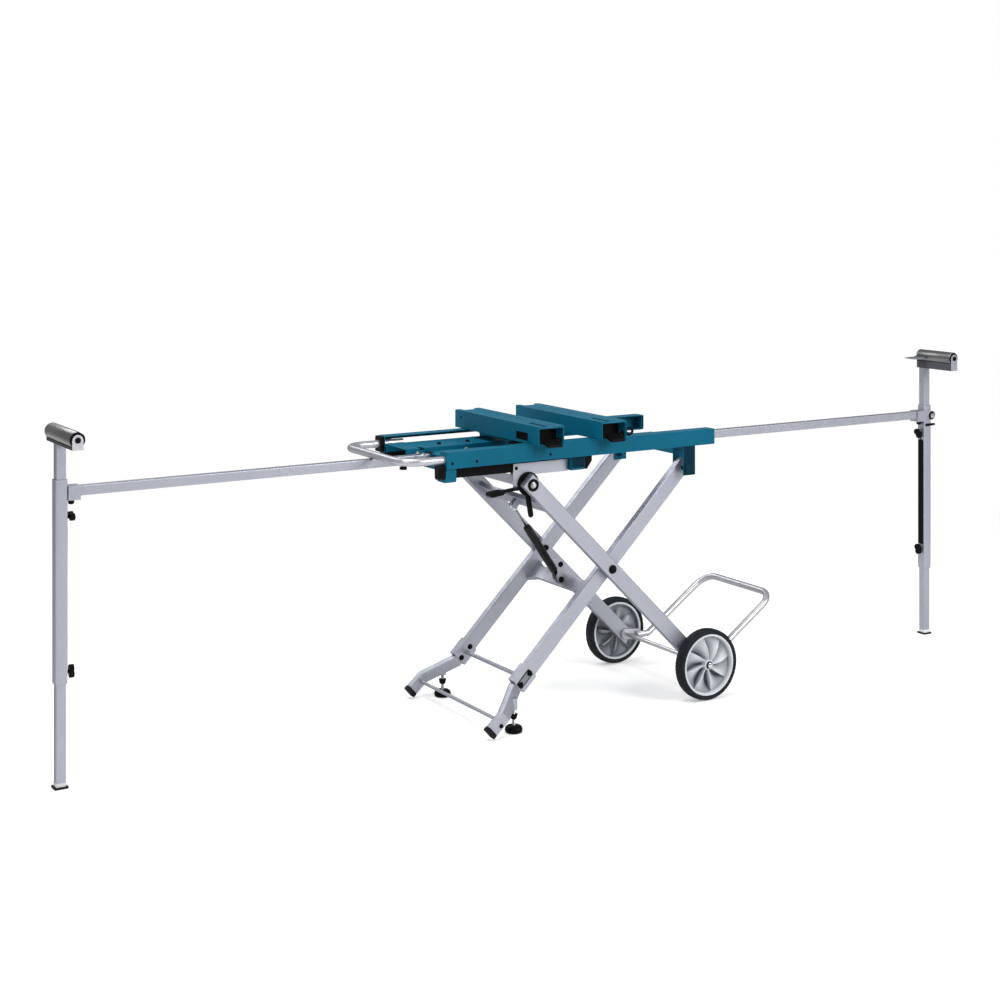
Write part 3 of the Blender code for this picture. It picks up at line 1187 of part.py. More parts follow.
def make_support(word, side, x, bottom, roller_z, length, forward, depth, tilts):
    y = -side * bar_offset
    bar_origin = (x, y, bar_height)
    towards = -side
    pole_face = x + towards * POLE_SIZE / 2
    # Extension bar with its end fitting
    bar_end = pole_face + towards * (FIT_GAP + FITTING_LENGTH / 2)
    inner_end = side * BAR_INNER_END
    outer = rounded(BAR_SIZE, BAR_SIZE, SHEET, y, bar_height)
    inner = rounded(BAR_SIZE - BAR_WALL * 2, BAR_SIZE - BAR_WALL * 2, SHEET / 2, y, bar_height)
    bar = solid(word + "_bar",
                [pipe(outer, inner, along_x, min(bar_end, inner_end), max(bar_end, inner_end))],
                SILVER, bar_origin)
    fit_a = pole_face + towards * FIT_GAP
    fit_b = fit_a + towards * FITTING_LENGTH
    fitting = block((min(fit_a, fit_b), max(fit_a, fit_b)), (y - fitting_half, y + fitting_half),
                    (bar_height - FITTING_DROP, bar_height + fitting_top))
    join(bar, [fitting])
    if side > 0:
        fork_start = fit_a + towards * FITTING_LENGTH / 2
        fork_end = x + side * FORK_REACH
        fork_loop = capsule(fork_start, bar_height, fork_end, bar_height, FORK_HALF)
        fork_low = POLE_SIZE / 2 + SLIDE_GAP
        fork_high = fitting_half - SLIDE_GAP / 2
        join(bar, [prism(fork_loop, along_y, y - fork_high, y - fork_low),
                   prism(fork_loop, along_y, y + fork_low, y + fork_high)])
    # Outer leg tube with its two slots
    pole_outer = rounded(POLE_SIZE, POLE_SIZE, POLE_CORNER, x, y)
    bore = POLE_SIZE - POLE_WALL * 2
    pole_inner = rounded(bore, bore, POLE_CORNER / 2, x, y)
    pole = solid(word + "_pole", [pipe(pole_outer, pole_inner, along_z, bottom, pole_top)], SILVER,
                 bar_origin)
    slot_low = x + towards * (POLE_SIZE / 2 - POLE_WALL * 2)
    slot_high = pole_face + towards * SHEET
    slots = []
    for low, high in ((upper_slot_low, upper_slot_high), (lower_slot_low, lower_slot_high)):
        loop = capsule(y, low + POLE_SLOT_WIDTH / 2, y, high - POLE_SLOT_WIDTH / 2, POLE_SLOT_WIDTH / 2)
        slots.append(prism(loop, along_x, min(slot_low, slot_high), max(slot_low, slot_high)))
    cut(pole, slots)
    # Posts
    post_outer = rounded(post_size, post_size, POST_CORNER, x, y)
    post_bore = post_size - POST_WALL * 2
    post_inner = rounded(post_bore, post_bore, POST_CORNER / 2, x, y)
    head_bottom = roller_z - depth
    solid(word + "_upper_post",
          [pipe(post_outer, post_inner, along_z, upper_post_bottom, head_bottom - FIT_GAP)],
          SILVER, (x, y, roller_z))
    solid(word + "_lower_post",
          [pipe(post_outer, post_inner, along_z, FOOT_PAD_HEIGHT + FIT_GAP, lower_post_top)],
          SILVER, (x, y, 0.0))
    pad_loop = rounded(FOOT_PAD_SIZE, FOOT_PAD_SIZE, POST_CORNER, x, y)
    solid(word + "_foot_pad", [prism(pad_loop, along_z, 0.0, FOOT_PAD_HEIGHT)], RUBBER, (x, y, 0.0))
    # Roller head
    head_y = y - forward
    head_low = head_y - length / 2
    head_high = head_y + length / 2
    low_z = roller_z + head_wall_top
    channel_loop = [
        (x - HEAD_HALF, head_bottom), (x - HEAD_HALF, low_z), (x - head_wall_inner, low_z),
        (x - head_wall_inner, head_bottom + SHEET), (x + head_wall_inner, head_bottom + SHEET),
        (x + head_wall_inner, low_z), (x + HEAD_HALF, low_z), (x + HEAD_HALF, head_bottom)]
    inset = SHEET / 4
    channel = solid(word + "_roller_channel",
                    [prism(channel_loop, along_y, head_low + inset, head_high - inset)], GREY,
                    (x, y, roller_z))
    end_loop = [(x - head_end_radius, head_bottom + inset), (x + head_end_radius, head_bottom + inset)]
    for k in range(13):
        angle = math.pi * k / 12
        end_loop.append((x + head_end_radius * math.cos(angle),
                         roller_z + head_end_radius * math.sin(angle)))
    join(channel, [prism(end_loop, along_y, head_low, head_low + SHEET),
                   prism(end_loop, along_y, head_high - SHEET, head_high)])
    if side > 0:
        # The rear end plate has a lug that holds the stop plate's barrel beside the roller
        lug = capsule(stop_x, stop_z, x - HEAD_HALF + STOP_LUG, stop_z, STOP_LUG)
        join(channel, [prism(lug, along_y, head_high - SHEET + inset, head_high - inset)])
    stub_hole = ROLLER_STUB + PIN_GAP
    cut(channel, [hole_y(x, roller_z, stub_hole, head_low - SHEET, head_low + SHEET * 2, 16),
                  hole_y(x, roller_z, stub_hole, head_high - SHEET * 2, head_high + SHEET, 16)])
    half = length / 2 - SHEET - SLIDE_GAP * 2
    stub_end = length / 2 + SLIDE_GAP
    cap_end = stub_end + ROLLER_CAP
    profile = [
        (ROLLER_CAP_RADIUS, -cap_end), (ROLLER_CAP_RADIUS, -stub_end), (ROLLER_STUB, -stub_end),
        (ROLLER_STUB, -half),
        (ROLLER_RADIUS - SHEET / 2, -half), (ROLLER_RADIUS, -half + SHEET / 2),
        (ROLLER_RADIUS, half - SHEET / 2),
        (ROLLER_RADIUS - SHEET / 2, half), (ROLLER_STUB, half), (ROLLER_STUB, stub_end),
        (ROLLER_CAP_RADIUS, stub_end), (ROLLER_CAP_RADIUS, cap_end)]
    solid(word + "_roller", [turned(profile, (x, head_y, roller_z), (0.0, 1.0, 0.0), 20)], ROLLER,
          (x, head_y, roller_z), smooth=True)
    make_knob(word + "_upper_knob", pole_face, y, upper_knob_z, towards, tilts[0])
    make_knob(word + "_lower_knob", pole_face, y, LOWER_KNOB_HEIGHT, towards, tilts[1])
    return head_high


left_tilts = (math.radians(78.0), math.radians(8.0))
right_tilts = (math.radians(40.0), math.radians(15.0))
stop_z = right_roller_z - STOP_DROP
stop_x = RIGHT_LEG_X - ROLLER_RADIUS - SLIDE_GAP - STOP_BARREL
make_support("left", -1, LEFT_LEG_X, LOWER_KNOB_HEIGHT - LEFT_POLE_TAIL, left_roller_z, LEFT_HEAD_LENGTH,
             LEFT_HEAD_FORWARD, left_head_depth, left_tilts)
stop_rear = make_support("right", 1, RIGHT_LEG_X, LOWER_KNOB_HEIGHT - RIGHT_POLE_TAIL, right_roller_z,
                         RIGHT_HEAD_LENGTH, RIGHT_HEAD_FORWARD, right_head_depth, right_tilts)
stop_loop = capsule(stop_x - STOP_LENGTH, stop_z, stop_x, stop_z, STOP_BARREL)
stop_loop = [(u, stop_z + (v - stop_z) * (1.0 if u > stop_x - STOP_BARREL else STOP_HALF / STOP_BARREL))
             for u, v in stop_loop]
stop_high = stop_rear - SHEET - FIT_GAP
solid("right_stop_plate", [prism(stop_loop, along_y, stop_high - STOP_WIDTH, stop_high)], SILVER,
      (stop_x, stop_high - STOP_WIDTH / 2, stop_z))

# Clamp knob under the left housing's tongue
knob_top = bar_height - housing_size / 2
knob_y = bar_offset
knob_profile_low = knob_top - BAR_KNOB_STEM - BAR_KNOB_HEIGHT
bar_knob = solid("left_bar_knob",
                 [prism(lobed(BAR_KNOB_RADIUS, BAR_KNOB_LOBE, -bar_knob_x, knob_y), along_z, knob_profile_low,
                                         knob_top - BAR_KNOB_STEM)], BLACK, (-bar_knob_x, knob_y, knob_top))
join(bar_knob,
     [prism(circle(KNOB_STEM_RADIUS, 16, -bar_knob_x, knob_y), along_z, knob_profile_low + BAR_KNOB_STEM,
                      knob_top - FIT_GAP)])


# Saw arms
def make_arm(word, x, side_cuts):
    low = TABLE_TOP + SLIDE_GAP
    top = low + ARM_HEIGHT
    half = ARM_WIDTH / 2
    flat = top - ARM_RIB_RISE
    rib = half - ARM_RIB_WIDTH
    dip = rib - ARM_RIB_SLOPE
    loop = [
        (x - half, low), (x - half, top), (x - rib, top), (x - dip, flat), (x + dip, flat), (x + rib, top),
        (x + half, top), (x + half, low), (x + half - ARM_WALL, low), (x + half - ARM_WALL, flat - ARM_WALL),
        (x - half + ARM_WALL, flat - ARM_WALL), (x - half + ARM_WALL, low)]
    front = -arm_length / 2
    arm = solid(word + "_saw_arm", [prism(loop, along_y, front, -front)], TEAL, (x, 0.0, low))
    slot_low = front + ARM_SLOT_INSET + ARM_SLOT_WIDTH / 2
    slot_high = slot_low + ARM_SLOT_LENGTH - ARM_SLOT_WIDTH
    slot = prism(capsule(x, slot_low, x, slot_high, ARM_SLOT_WIDTH / 2), along_z, flat - ARM_WALL * 2, top)
    window_front = front + ARM_WINDOW_INSET
    window = block((x - half - ARM_WALL, x - half + ARM_WALL * 2),
                   (window_front, window_front + ARM_WINDOW_LENGTH),
                   (low + ARM_WINDOW_RISE, low + ARM_WINDOW_RISE + ARM_WINDOW_HEIGHT))
    hole = prism(circle(ARM_HOLE_RADIUS, 16, -front - ARM_HOLE_INSET, low + ARM_HOLE_RISE), along_x,
                 x - half - ARM_WALL, x - half + ARM_WALL * 2)
    cut(arm, [slot, window, hole] if side_cuts else [slot])
    pivot_y = front + ARM_LEVER_INSET
    pivot_z = low + ARM_LEVER_RISE
    barrel_half = half - ARM_WALL - SLIDE_GAP
    barrel = prism(circle(ARM_LEVER_BARREL, 16, pivot_y, pivot_z), along_x, x - barrel_half, x + barrel_half)
    lever = solid(word + "_arm_lever", [barrel], BLACK, (x, pivot_y, pivot_z))
    blade = capsule(pivot_y, pivot_z, pivot_y - ARM_LEVER_LENGTH, pivot_z - ARM_LEVER_DROP,
                    ARM_LEVER_THICKNESS / 2)
    join(lever, [prism(blade, along_x, x - ARM_LEVER_HALF, x + ARM_LEVER_HALF)])


make_arm("left", LEFT_ARM_X, True)
make_arm("right", RIGHT_ARM_X, False)
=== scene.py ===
"""Looks of the folding miter saw stand: painted frame, wheels, rollers, strut, fasteners and studio."""

import math

import bmesh
import bpy
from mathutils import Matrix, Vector


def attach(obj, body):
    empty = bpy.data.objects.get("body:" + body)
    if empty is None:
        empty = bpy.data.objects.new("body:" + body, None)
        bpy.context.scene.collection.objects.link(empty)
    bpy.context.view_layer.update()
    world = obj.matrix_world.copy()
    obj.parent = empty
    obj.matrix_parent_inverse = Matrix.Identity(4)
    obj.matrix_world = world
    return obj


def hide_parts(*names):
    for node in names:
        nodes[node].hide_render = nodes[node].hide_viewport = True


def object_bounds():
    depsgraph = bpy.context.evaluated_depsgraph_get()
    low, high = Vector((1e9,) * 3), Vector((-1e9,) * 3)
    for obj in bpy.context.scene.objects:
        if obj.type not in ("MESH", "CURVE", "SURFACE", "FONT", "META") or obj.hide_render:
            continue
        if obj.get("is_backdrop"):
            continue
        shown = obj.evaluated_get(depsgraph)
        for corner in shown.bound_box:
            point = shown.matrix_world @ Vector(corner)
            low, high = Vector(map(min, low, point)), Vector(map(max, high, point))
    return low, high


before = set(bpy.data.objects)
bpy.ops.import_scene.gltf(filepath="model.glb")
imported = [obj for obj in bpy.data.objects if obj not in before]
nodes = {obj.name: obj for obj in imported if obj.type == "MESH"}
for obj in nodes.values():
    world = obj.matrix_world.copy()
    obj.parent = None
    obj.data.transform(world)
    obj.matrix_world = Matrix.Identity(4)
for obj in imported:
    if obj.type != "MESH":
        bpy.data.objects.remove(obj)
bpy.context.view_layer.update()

# The table's middle lies this far along X from the middle of the whole stand
TABLE_X = -0.02975

WHITE = (1.0, 1.0, 1.0, 1.0)

# The stand's two sides and their signs along Y
SIDES = (("front", -1.0), ("rear", 1.0))


def at(x, y, z):
    """A point given from the table's middle."""
    return Vector((x + TABLE_X, y, z))


def box_of(node):
    """The lowest and the highest corner of a CAD node."""
    points = [vert.co for vert in nodes[node].data.vertices]
    return [Vector([pick(point[k] for point in points) for k in range(3)]) for pick in (min, max)]


def middle_of(node):
    low, high = box_of(node)
    return (low + high) / 2


def axis_of(node):
    """Where the axis of a node that lies along Y meets the stand's middle plane."""
    middle = middle_of(node)
    return Vector((middle.x, 0.0, middle.z))


# Node trees, for finishes, recipes and the studio
class Wiring:
    """A node tree whose new nodes are fed by input name, or by i and the input's number."""

    def __init__(self, tree):
        self.tree = tree

    def feed(self, node, **feeds):
        """Gives a node's inputs an output, a list of outputs or a plain value each."""
        for key, value in feeds.items():
            socket = node.inputs[int(key[1:])] if key[1:].isdigit() else node.inputs[key.replace("_", " ")]
            for item in value if isinstance(value, list) else [value]:
                if hasattr(item, "is_output"):
                    self.tree.links.new(item, socket)
                else:
                    socket.default_value = item

    def node(self, kind, settings=(), **feeds):
        node = self.tree.nodes.new(kind)
        for key, value in dict(settings).items():
            setattr(node, key, value)
        self.feed(node, **feeds)
        return node

    def add(self, kind, settings=(), **feeds):
        """The first output of a new node."""
        return self.node(kind, settings, **feeds).outputs[0]

    def maths(self, operation, *values):
        feeds = {"i" + str(place): value for place, value in enumerate(values)}
        return self.add("ShaderNodeMath", {"operation": operation}, **feeds)

    def spread(self, value, low, high, out_low, out_high):
        """Lays the range from low to high over another one."""
        return self.add("ShaderNodeMapRange", Value=value, From_Min=low, From_Max=high, To_Min=out_low,
                        To_Max=out_high)

    def glow(self, strength):
        return self.add("ShaderNodeEmission", Color=WHITE, Strength=strength)


class Shader(Wiring):
    """One Principled material with helpers for its patterns."""

    def __init__(self, name, metallic=0.0, specular=0.5, grazing=1.0):
        self.material = bpy.data.materials.new(name)
        self.material.use_nodes = True
        super().__init__(self.material.node_tree)
        self.place = self.node("ShaderNodeTexCoord").outputs["Object"]
        tint = (grazing, grazing, grazing, 1.0)
        self.skin(Metallic=metallic, Specular_IOR_Level=specular, Specular_Tint=tint)

    def skin(self, **feeds):
        self.feed(self.tree.nodes["Principled BSDF"], **feeds)

    def mapped(self, scale):
        return self.add("ShaderNodeMapping", Vector=self.place, Scale=scale)

    def noise(self, scale, detail=4.0, rough=0.5, stretch=(1.0, 1.0, 1.0)):
        return self.add("ShaderNodeTexNoise", Vector=self.mapped(stretch), Scale=scale, Detail=detail,
                        Roughness=rough)

    def flakes(self, scale):
        vector = self.mapped((1.0, 1.0, 1.0))
        return self.node("ShaderNodeTexVoronoi", Vector=vector, Scale=scale).outputs["Color"]

    def either_side(self, middle, outer, inner):
        """0 at a distance from the stand's middle plane, rising to 1 further out and further in."""
        place = self.node("ShaderNodeSeparateXYZ", Vector=self.place)
        away = self.maths("ABSOLUTE", place.outputs["Y"])
        return self.maths("MAXIMUM", self.spread(away, middle, outer, 0.0, 1.0),
                          self.spread(away, middle, inner, 0.0, 1.0))

    def blend(self, factor, *ends):
        """Mixes two colours, each an output or three numbers."""
        first, second = [(*end, 1.0) if isinstance(end, tuple) else end for end in ends]
        mix = self.node("ShaderNodeMix", {"data_type": "RGBA"}, Factor=factor, i6=first, i7=second)
        return mix.outputs[2]

    def drifting(self, colour, scale, detail, dark, light):
        """A colour that drifts slowly between a darker and a lighter shade of itself."""
        drift = self.spread(self.noise(scale, detail), 0.3, 0.7, 0.0, 1.0)
        return self.blend(drift, shaded(colour, dark), shaded(colour, light))

    def colour(self, value):
        self.skin(Base_Color=value)

    def roughness(self, value):
        self.skin(Roughness=value)

    def bump(self, height, distance, strength):
        self.skin(Normal=self.add("ShaderNodeBump", Height=height, Distance=distance, Strength=strength))


def shaded(colour, share):
    return tuple(channel * share for channel in colour)


def powder_coat(name, colour, low, high, gloss):
    """Baked paint: a fine orange-peel skin, faint shade drift and a few dull handling marks."""
    look = Shader(name, specular=gloss)
    body = look.drifting(colour, 7.0, 3.0, 0.93, 1.05)
    marks = look.spread(look.noise(38.0, 8.0, 0.72), 0.62, 0.76, 0.0, 0.35)
    look.colour(look.blend(marks, body, shaded(colour, 1.22)))
    look.roughness(look.spread(look.noise(55.0, 6.0, 0.6), 0.25, 0.75, low, high))
    look.bump(look.noise(620.0, 2.0, 0.4), 0.00009, 0.55)
    return look.material


def flaked_paint(name, colour, metallic, low, high, relief=0.00007):
    """Silver-grey paint with fine metal flake under a satin skin."""
    look = Shader(name, metallic=metallic, specular=0.4, grazing=0.15)
    body = look.drifting(colour, 5.0, 4.0, 0.95, 1.04)
    grain = look.spread(look.flakes(1500.0), 0.0, 1.0, 0.0, 0.16)
    look.colour(look.blend(grain, body, shaded(colour, 1.25)))
    look.roughness(look.spread(look.noise(42.0, 6.0, 0.62), 0.25, 0.75, low, high))
    look.bump(look.noise(700.0, 2.0, 0.4), relief, 0.5)
    return look.material


def drawn_steel(name, colour, stretch, low, high):
    """Bare or plated steel with fine lines along the way it was drawn or turned."""
    look = Shader(name, metallic=0.95)
    lines = look.noise(9.0, 6.0, 0.6, stretch)
    stain = look.noise(20.0, 5.0, 0.6)
    body = look.blend(lines, shaded(colour, 0.86), shaded(colour, 1.06))
    look.colour(look.blend(look.spread(stain, 0.5, 0.8, 0.0, 0.4), body, shaded(colour, 0.72)))
    look.roughness(look.spread(lines, 0.3, 0.7, low, high))
    look.bump(lines, 0.00004, 0.5)
    return look.material


def moulded(name, colour, low, high):
    """Moulded plastic with a spark-eroded grain and slight handling shine."""
    look = Shader(name, specular=0.06)
    look.colour(look.drifting(colour, 16.0, 4.0, 0.85, 1.15))
    look.roughness(look.spread(look.noise(60.0, 5.0, 0.6), 0.3, 0.7, low, high))
    look.bump(look.noise(1300.0, 2.0, 0.5), 0.00006, 0.6)
    return look.material


def rubber(name, colour, dust):
    """Vulcanised rubber with a chalky bloom and a pitted skin."""
    look = Shader(name, specular=0.2)
    bloom = look.spread(look.noise(30.0, 8.0, 0.7), 0.45, 0.75, 0.0, 0.7)
    look.colour(look.blend(bloom, colour, dust))
    look.roughness(look.spread(look.noise(90.0, 5.0, 0.6), 0.3, 0.7, 0.62, 0.86))
    look.bump(look.noise(850.0, 3.0, 0.6), 0.00012, 0.7)
    return look.material


# Distances from the stand's middle plane between which the hubs' painted shade changes
HUB_INSIDE_Y = 0.1920
HUB_DEEP_Y = 0.2000
HUB_OUTSIDE_Y = 0.2150


def hub_plastic(name, proud, sunk):
    """Grainy nylon with painted shade: darker where the vanes lie deep between the hub's two faces."""
    look = Shader(name, specular=0.3)
    pale = look.drifting(proud, 16.0, 4.0, 0.94, 1.05)
    look.colour(look.blend(look.either_side(HUB_DEEP_Y, HUB_OUTSIDE_Y, HUB_INSIDE_Y), sunk, pale))
    look.roughness(look.spread(look.noise(60.0, 5.0, 0.6), 0.3, 0.7, 0.30, 0.46))
    look.bump(look.noise(900.0, 2.0, 0.5), 0.00004, 0.6)
    return look.material


TEAL = powder_coat("teal_powder_coat", (0.0015, 0.104, 0.176), 0.32, 0.48, 0.10)
# A darker copy of the teal powder coat: painted shade for teal parts that lie in shadow
TEAL_PAINTED_SHADE = powder_coat("deep_teal_powder_coat", (0.0008, 0.022, 0.040), 0.34, 0.50, 0.06)
SILVER = flaked_paint("silver_grey_paint", (0.400, 0.412, 0.470), 0.72, 0.34, 0.50)
BRIGHT_TUBE = flaked_paint("bright_tube_lacquer", (0.49, 0.495, 0.53), 0.70, 0.30, 0.40, 0.00002)
END_PLATE = flaked_paint("end_plate_paint", (0.56, 0.56, 0.60), 0.45, 0.34, 0.48)
PANEL_GREY = flaked_paint("panel_grey_paint", (0.20, 0.21, 0.235), 0.30, 0.36, 0.50)
# The left head's channel paint is darker than the right one's: painted shade under its roller
HEAD_PAINTED_SHADE = powder_coat("head_dark_paint", (0.026, 0.027, 0.033), 0.34, 0.50, 0.2)
HEAD_GREY = powder_coat("head_grey_paint", (0.075, 0.077, 0.088), 0.34, 0.50, 0.2)
ZINC = drawn_steel("zinc_plated_steel", (0.60, 0.60, 0.61), (60.0, 60.0, 60.0), 0.22, 0.42)
CHROME = drawn_steel("hard_chrome_rod", (0.66, 0.67, 0.69), (50.0, 50.0, 50.0), 0.08, 0.2)
ROLLER = drawn_steel("turned_roller_steel", (0.22, 0.22, 0.225), (1.5, 120.0, 1.5), 0.26, 0.46)
BLACK = moulded("black_plastic", (0.0038, 0.0038, 0.0046), 0.34, 0.52)
BLACK_PAINT = powder_coat("black_cylinder_paint", (0.0040, 0.0040, 0.0056), 0.24, 0.38, 0.22)
PALE_PLASTIC = moulded("pale_plastic", (0.66, 0.67, 0.69), 0.40, 0.58)
# The hub's second, dark colour is painted shade for the hollows between the vanes
HUB = hub_plastic("pale_hub_plastic", (0.60, 0.63, 0.66), (0.085, 0.096, 0.115))
RUBBER = rubber("foot_rubber", (0.0055, 0.0055, 0.0060), (0.024, 0.024, 0.025))
TYRE = rubber("tyre_rubber", (0.0075, 0.0098, 0.0130), (0.026, 0.032, 0.040))

# The slot that each finish fills
SLOTS = {
    "teal_paint": (TEAL, TEAL_PAINTED_SHADE),
    "silver_paint": (SILVER, BRIGHT_TUBE, END_PLATE, PANEL_GREY, PALE_PLASTIC),
    "head_steel": (HEAD_PAINTED_SHADE, HEAD_GREY),
    "bright_steel": (ZINC, CHROME),
    "roller_steel": (ROLLER,),
    "black_plastic": (BLACK,),
    "black_paint": (BLACK_PAINT,),
    "hub_plastic": (HUB,),
    "black_rubber": (RUBBER,),
    "tyre_rubber": (TYRE,),
}
SLOT_OF = {material.name: slot for slot, materials in SLOTS.items() for material in materials}


# Mesh building
def finish_mesh(name, work, material, sharp=32.0):
    """Turns a bmesh into an object, smooth but for edges above the sharp angle."""
    mesh = bpy.data.meshes.new(name)
    work.to_mesh(mesh)
    work.free()
    mesh.materials.append(material)
    mesh.shade_smooth()
    mesh.set_sharp_from_angle(angle=math.radians(sharp))
    piece = bpy.data.objects.new(name, mesh)
    bpy.context.scene.collection.objects.link(piece)
    return piece


def soften(piece, edge, angle=30.0):
    """Breaks the edges that are sharper than an angle."""
    bevel = piece.modifiers.new("edge_break", "BEVEL")
    bevel.width = edge
    bevel.segments = 2
    bevel.limit_method = "ANGLE"
    bevel.angle_limit = math.radians(angle)
    even = piece.modifiers.new("even_shading", "WEIGHTED_NORMAL")
    even.keep_sharp = True
    return piece


def settle(piece):
    """Turns the piece's modifiers into plain mesh."""
    bpy.context.view_layer.update()
    graph = bpy.context.evaluated_depsgraph_get()
    mesh = bpy.data.meshes.new_from_object(piece.evaluated_get(graph))
    piece.modifiers.clear()
    old = piece.data
    piece.data = mesh
    bpy.data.meshes.remove(old)
    mesh.name = piece.name
    return piece


def carried(piece, body, *covered, slot=None):
    """The piece moves with a body and may stand for CAD nodes, which it hides; the slot argument is not used.
    """
    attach(piece, body)
    if covered:
        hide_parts(*covered)
    return piece


def dressed(node, body, material, edge):
    """A merged copy of a CAD node with its edges broken, so that they catch the light."""
    work = bmesh.new()
    work.from_mesh(nodes[node].data)
    bmesh.ops.remove_doubles(work, verts=work.verts, dist=0.00001)
    bmesh.ops.dissolve_limit(work, angle_limit=math.radians(0.6), verts=work.verts, edges=work.edges)
    piece = finish_mesh(node + "_finished", work, material, 40.0)
    soften(piece, edge, 28.0)
    return carried(settle(piece), body, node)


def lathe(name, profile, centre, axis, count, material, closed=False):
    """Turns (radius, distance) points about an axis. An open profile starts and ends on the axis."""
    axis = Vector(axis).normalized()
    guide = Vector((1.0, 0.0, 0.0)) if abs(axis.z) > 0.9 else Vector((0.0, 0.0, 1.0))
    side = axis.cross(guide).normalized()
    other = axis.cross(side)
    work = bmesh.new()
    rings = []
    for radius, distance in profile:
        middle = Vector(centre) + axis * distance
        if radius <= 0.0:
            rings.append([work.verts.new(middle)])
            continue
        ring = []
        for k in range(count):
            turn = 2 * math.pi * k / count
            ring.append(work.verts.new(middle + (side * math.cos(turn) + other * math.sin(turn)) * radius))
        rings.append(ring)
    pairs = list(zip(rings, rings[1:]))
    if closed:
        pairs.append((rings[-1], rings[0]))
    for near, far in pairs:
        for k in range(count):
            nxt = (k + 1) % count
            corners = []
            for vert in (near[k % len(near)], near[nxt % len(near)], far[nxt % len(far)], far[k % len(far)]):
                if vert not in corners:
                    corners.append(vert)
            if len(corners) > 2:
                work.faces.new(corners)
    bmesh.ops.recalc_face_normals(work, faces=work.faces)
    return finish_mesh(name, work, material)


def turned(name, profile, centre, axis, count, material, body, *covered, closed=False, slot=None):
    """A turned piece that rides on a body."""
    return carried(lathe(name, profile, centre, axis, count, material, closed), body, *covered, slot=slot)


def mirrored(half):
    """A profile made of one half and its mirror image across the distance zero."""
    return half + [(radius, -distance) for radius, distance in reversed(half)]


def extruded(name, loop, place, low, high, material, edge):
    """A closed outline carried from low to high, with broken edges."""
    work = bmesh.new()
    base = [work.verts.new(place(u, v, low)) for u, v in loop]
    work.faces.new(base)
    count = len(loop)
    top = [work.verts.new(place(u, v, high)) for u, v in loop]
    work.faces.new(list(reversed(top)))
    for k in range(count):
        nxt = (k + 1) % count
        work.faces.new((base[nxt], base[k], top[k], top[nxt]))
    bmesh.ops.recalc_face_normals(work, faces=work.faces)
    return settle(soften(finish_mesh(name, work, material), edge))


def bent_path(corners, bend):
    """Rounds each inner corner of a path with an arc of the given radius."""
    steps = 12
    corners = [Vector(c) for c in corners]
    path = [corners[0]]
    for before, here, after in zip(corners, corners[1:], corners[2:]):
        into = (before - here).normalized()
        out = (after - here).normalized()
        half = into.angle(out) / 2
        back = bend / math.tan(half)
        middle = here + (into + out).normalized() * bend / math.sin(half)
        first = here + into * back - middle
        last = here + out * back - middle
        spread = first.angle(last)
        for k in range(steps + 1):
            share = k / steps
            arm = first * math.sin((1 - share) * spread) + last * math.sin(share * spread)
            path.append(middle + arm / math.sin(spread))
    path.append(corners[-1])
    return path


def tube(name, path, radius, material, sides=28):
    """A round tube along a path, with closed ends."""
    curve = bpy.data.curves.new(name, "CURVE")
    curve.dimensions = "3D"
    curve.bevel_depth = radius
    curve.bevel_resolution = sides // 4
    curve.use_fill_caps = True
    spline = curve.splines.new("POLY")
    spline.points.add(len(path) - 1)
    for point, place in zip(spline.points, path):
        point.co = (*place, 1.0)
    rough = bpy.data.objects.new(name + "_path", curve)
    bpy.context.scene.collection.objects.link(rough)
    bpy.context.view_layer.update()
    graph = bpy.context.evaluated_depsgraph_get()
    mesh = bpy.data.meshes.new_from_object(rough.evaluated_get(graph))
    bpy.data.objects.remove(rough)
    work = bmesh.new()
    work.from_mesh(mesh)
    bpy.data.meshes.remove(mesh)
    bmesh.ops.remove_doubles(work, verts=work.verts, dist=0.000001)
    bmesh.ops.recalc_face_normals(work, faces=work.faces)
    for face in work.faces:
        face.material_index = 0
    return finish_mesh(name, work, material, 40.0)


def joined(name, pieces):
    """Makes one mesh piece of several."""
    work = bmesh.new()
    for piece in pieces:
        work.from_mesh(piece.data)
    material = pieces[0].data.materials[0]
    for piece in pieces:
        bpy.data.objects.remove(piece)
    return finish_mesh(name, work, material, 34.0)


def ring(radius, count, u, v):
    """The outline of a disc."""
    return [(u + radius * math.cos(2 * math.pi * k / count), v + radius * math.sin(2 * math.pi * k / count))
            for k in range(count)]


def capsule(u0, v0, u1, v1, radius):
    """The outline of a bar with round ends."""
    steps = 13
    base = math.atan2(v1 - v0, u1 - u0)
    points = []
    for u, v, start in ((u1, v1, base - math.pi / 2), (u0, v0, base + math.pi / 2)):
        for k in range(steps):
            turn = start + math.pi * k / (steps - 1)
            points.append((u + radius * math.cos(turn), v + radius * math.sin(turn)))
    return points


def squircle(width, height, radius, u=0.0, v=0.0):
    """The outline of a rectangle with round corners."""
    steps = 6
    points = []
    for side_u, side_v, start in ((1, 1, 0.0), (-1, 1, 0.5), (-1, -1, 1.0), (1, -1, 1.5)):
        for k in range(steps):
            turn = math.pi * (start + 0.5 * k / (steps - 1))
            points.append((u + side_u * (width / 2 - radius) + radius * math.cos(turn),
                           v + side_v * (height / 2 - radius) + radius * math.sin(turn)))
    return points


def span(side, near, far):
    """The lower and the higher end, along Y, of what lies between two distances on one side."""
    return sorted((side * near, side * far))


# Placing functions: an outline drawn across Y, X or Z
def on_y(u, v, w):
    return at(u, w, v)


def on_x(u, v, w):
    return at(w, u, v)


def on_z(u, v, w):
    return at(u, v, w)


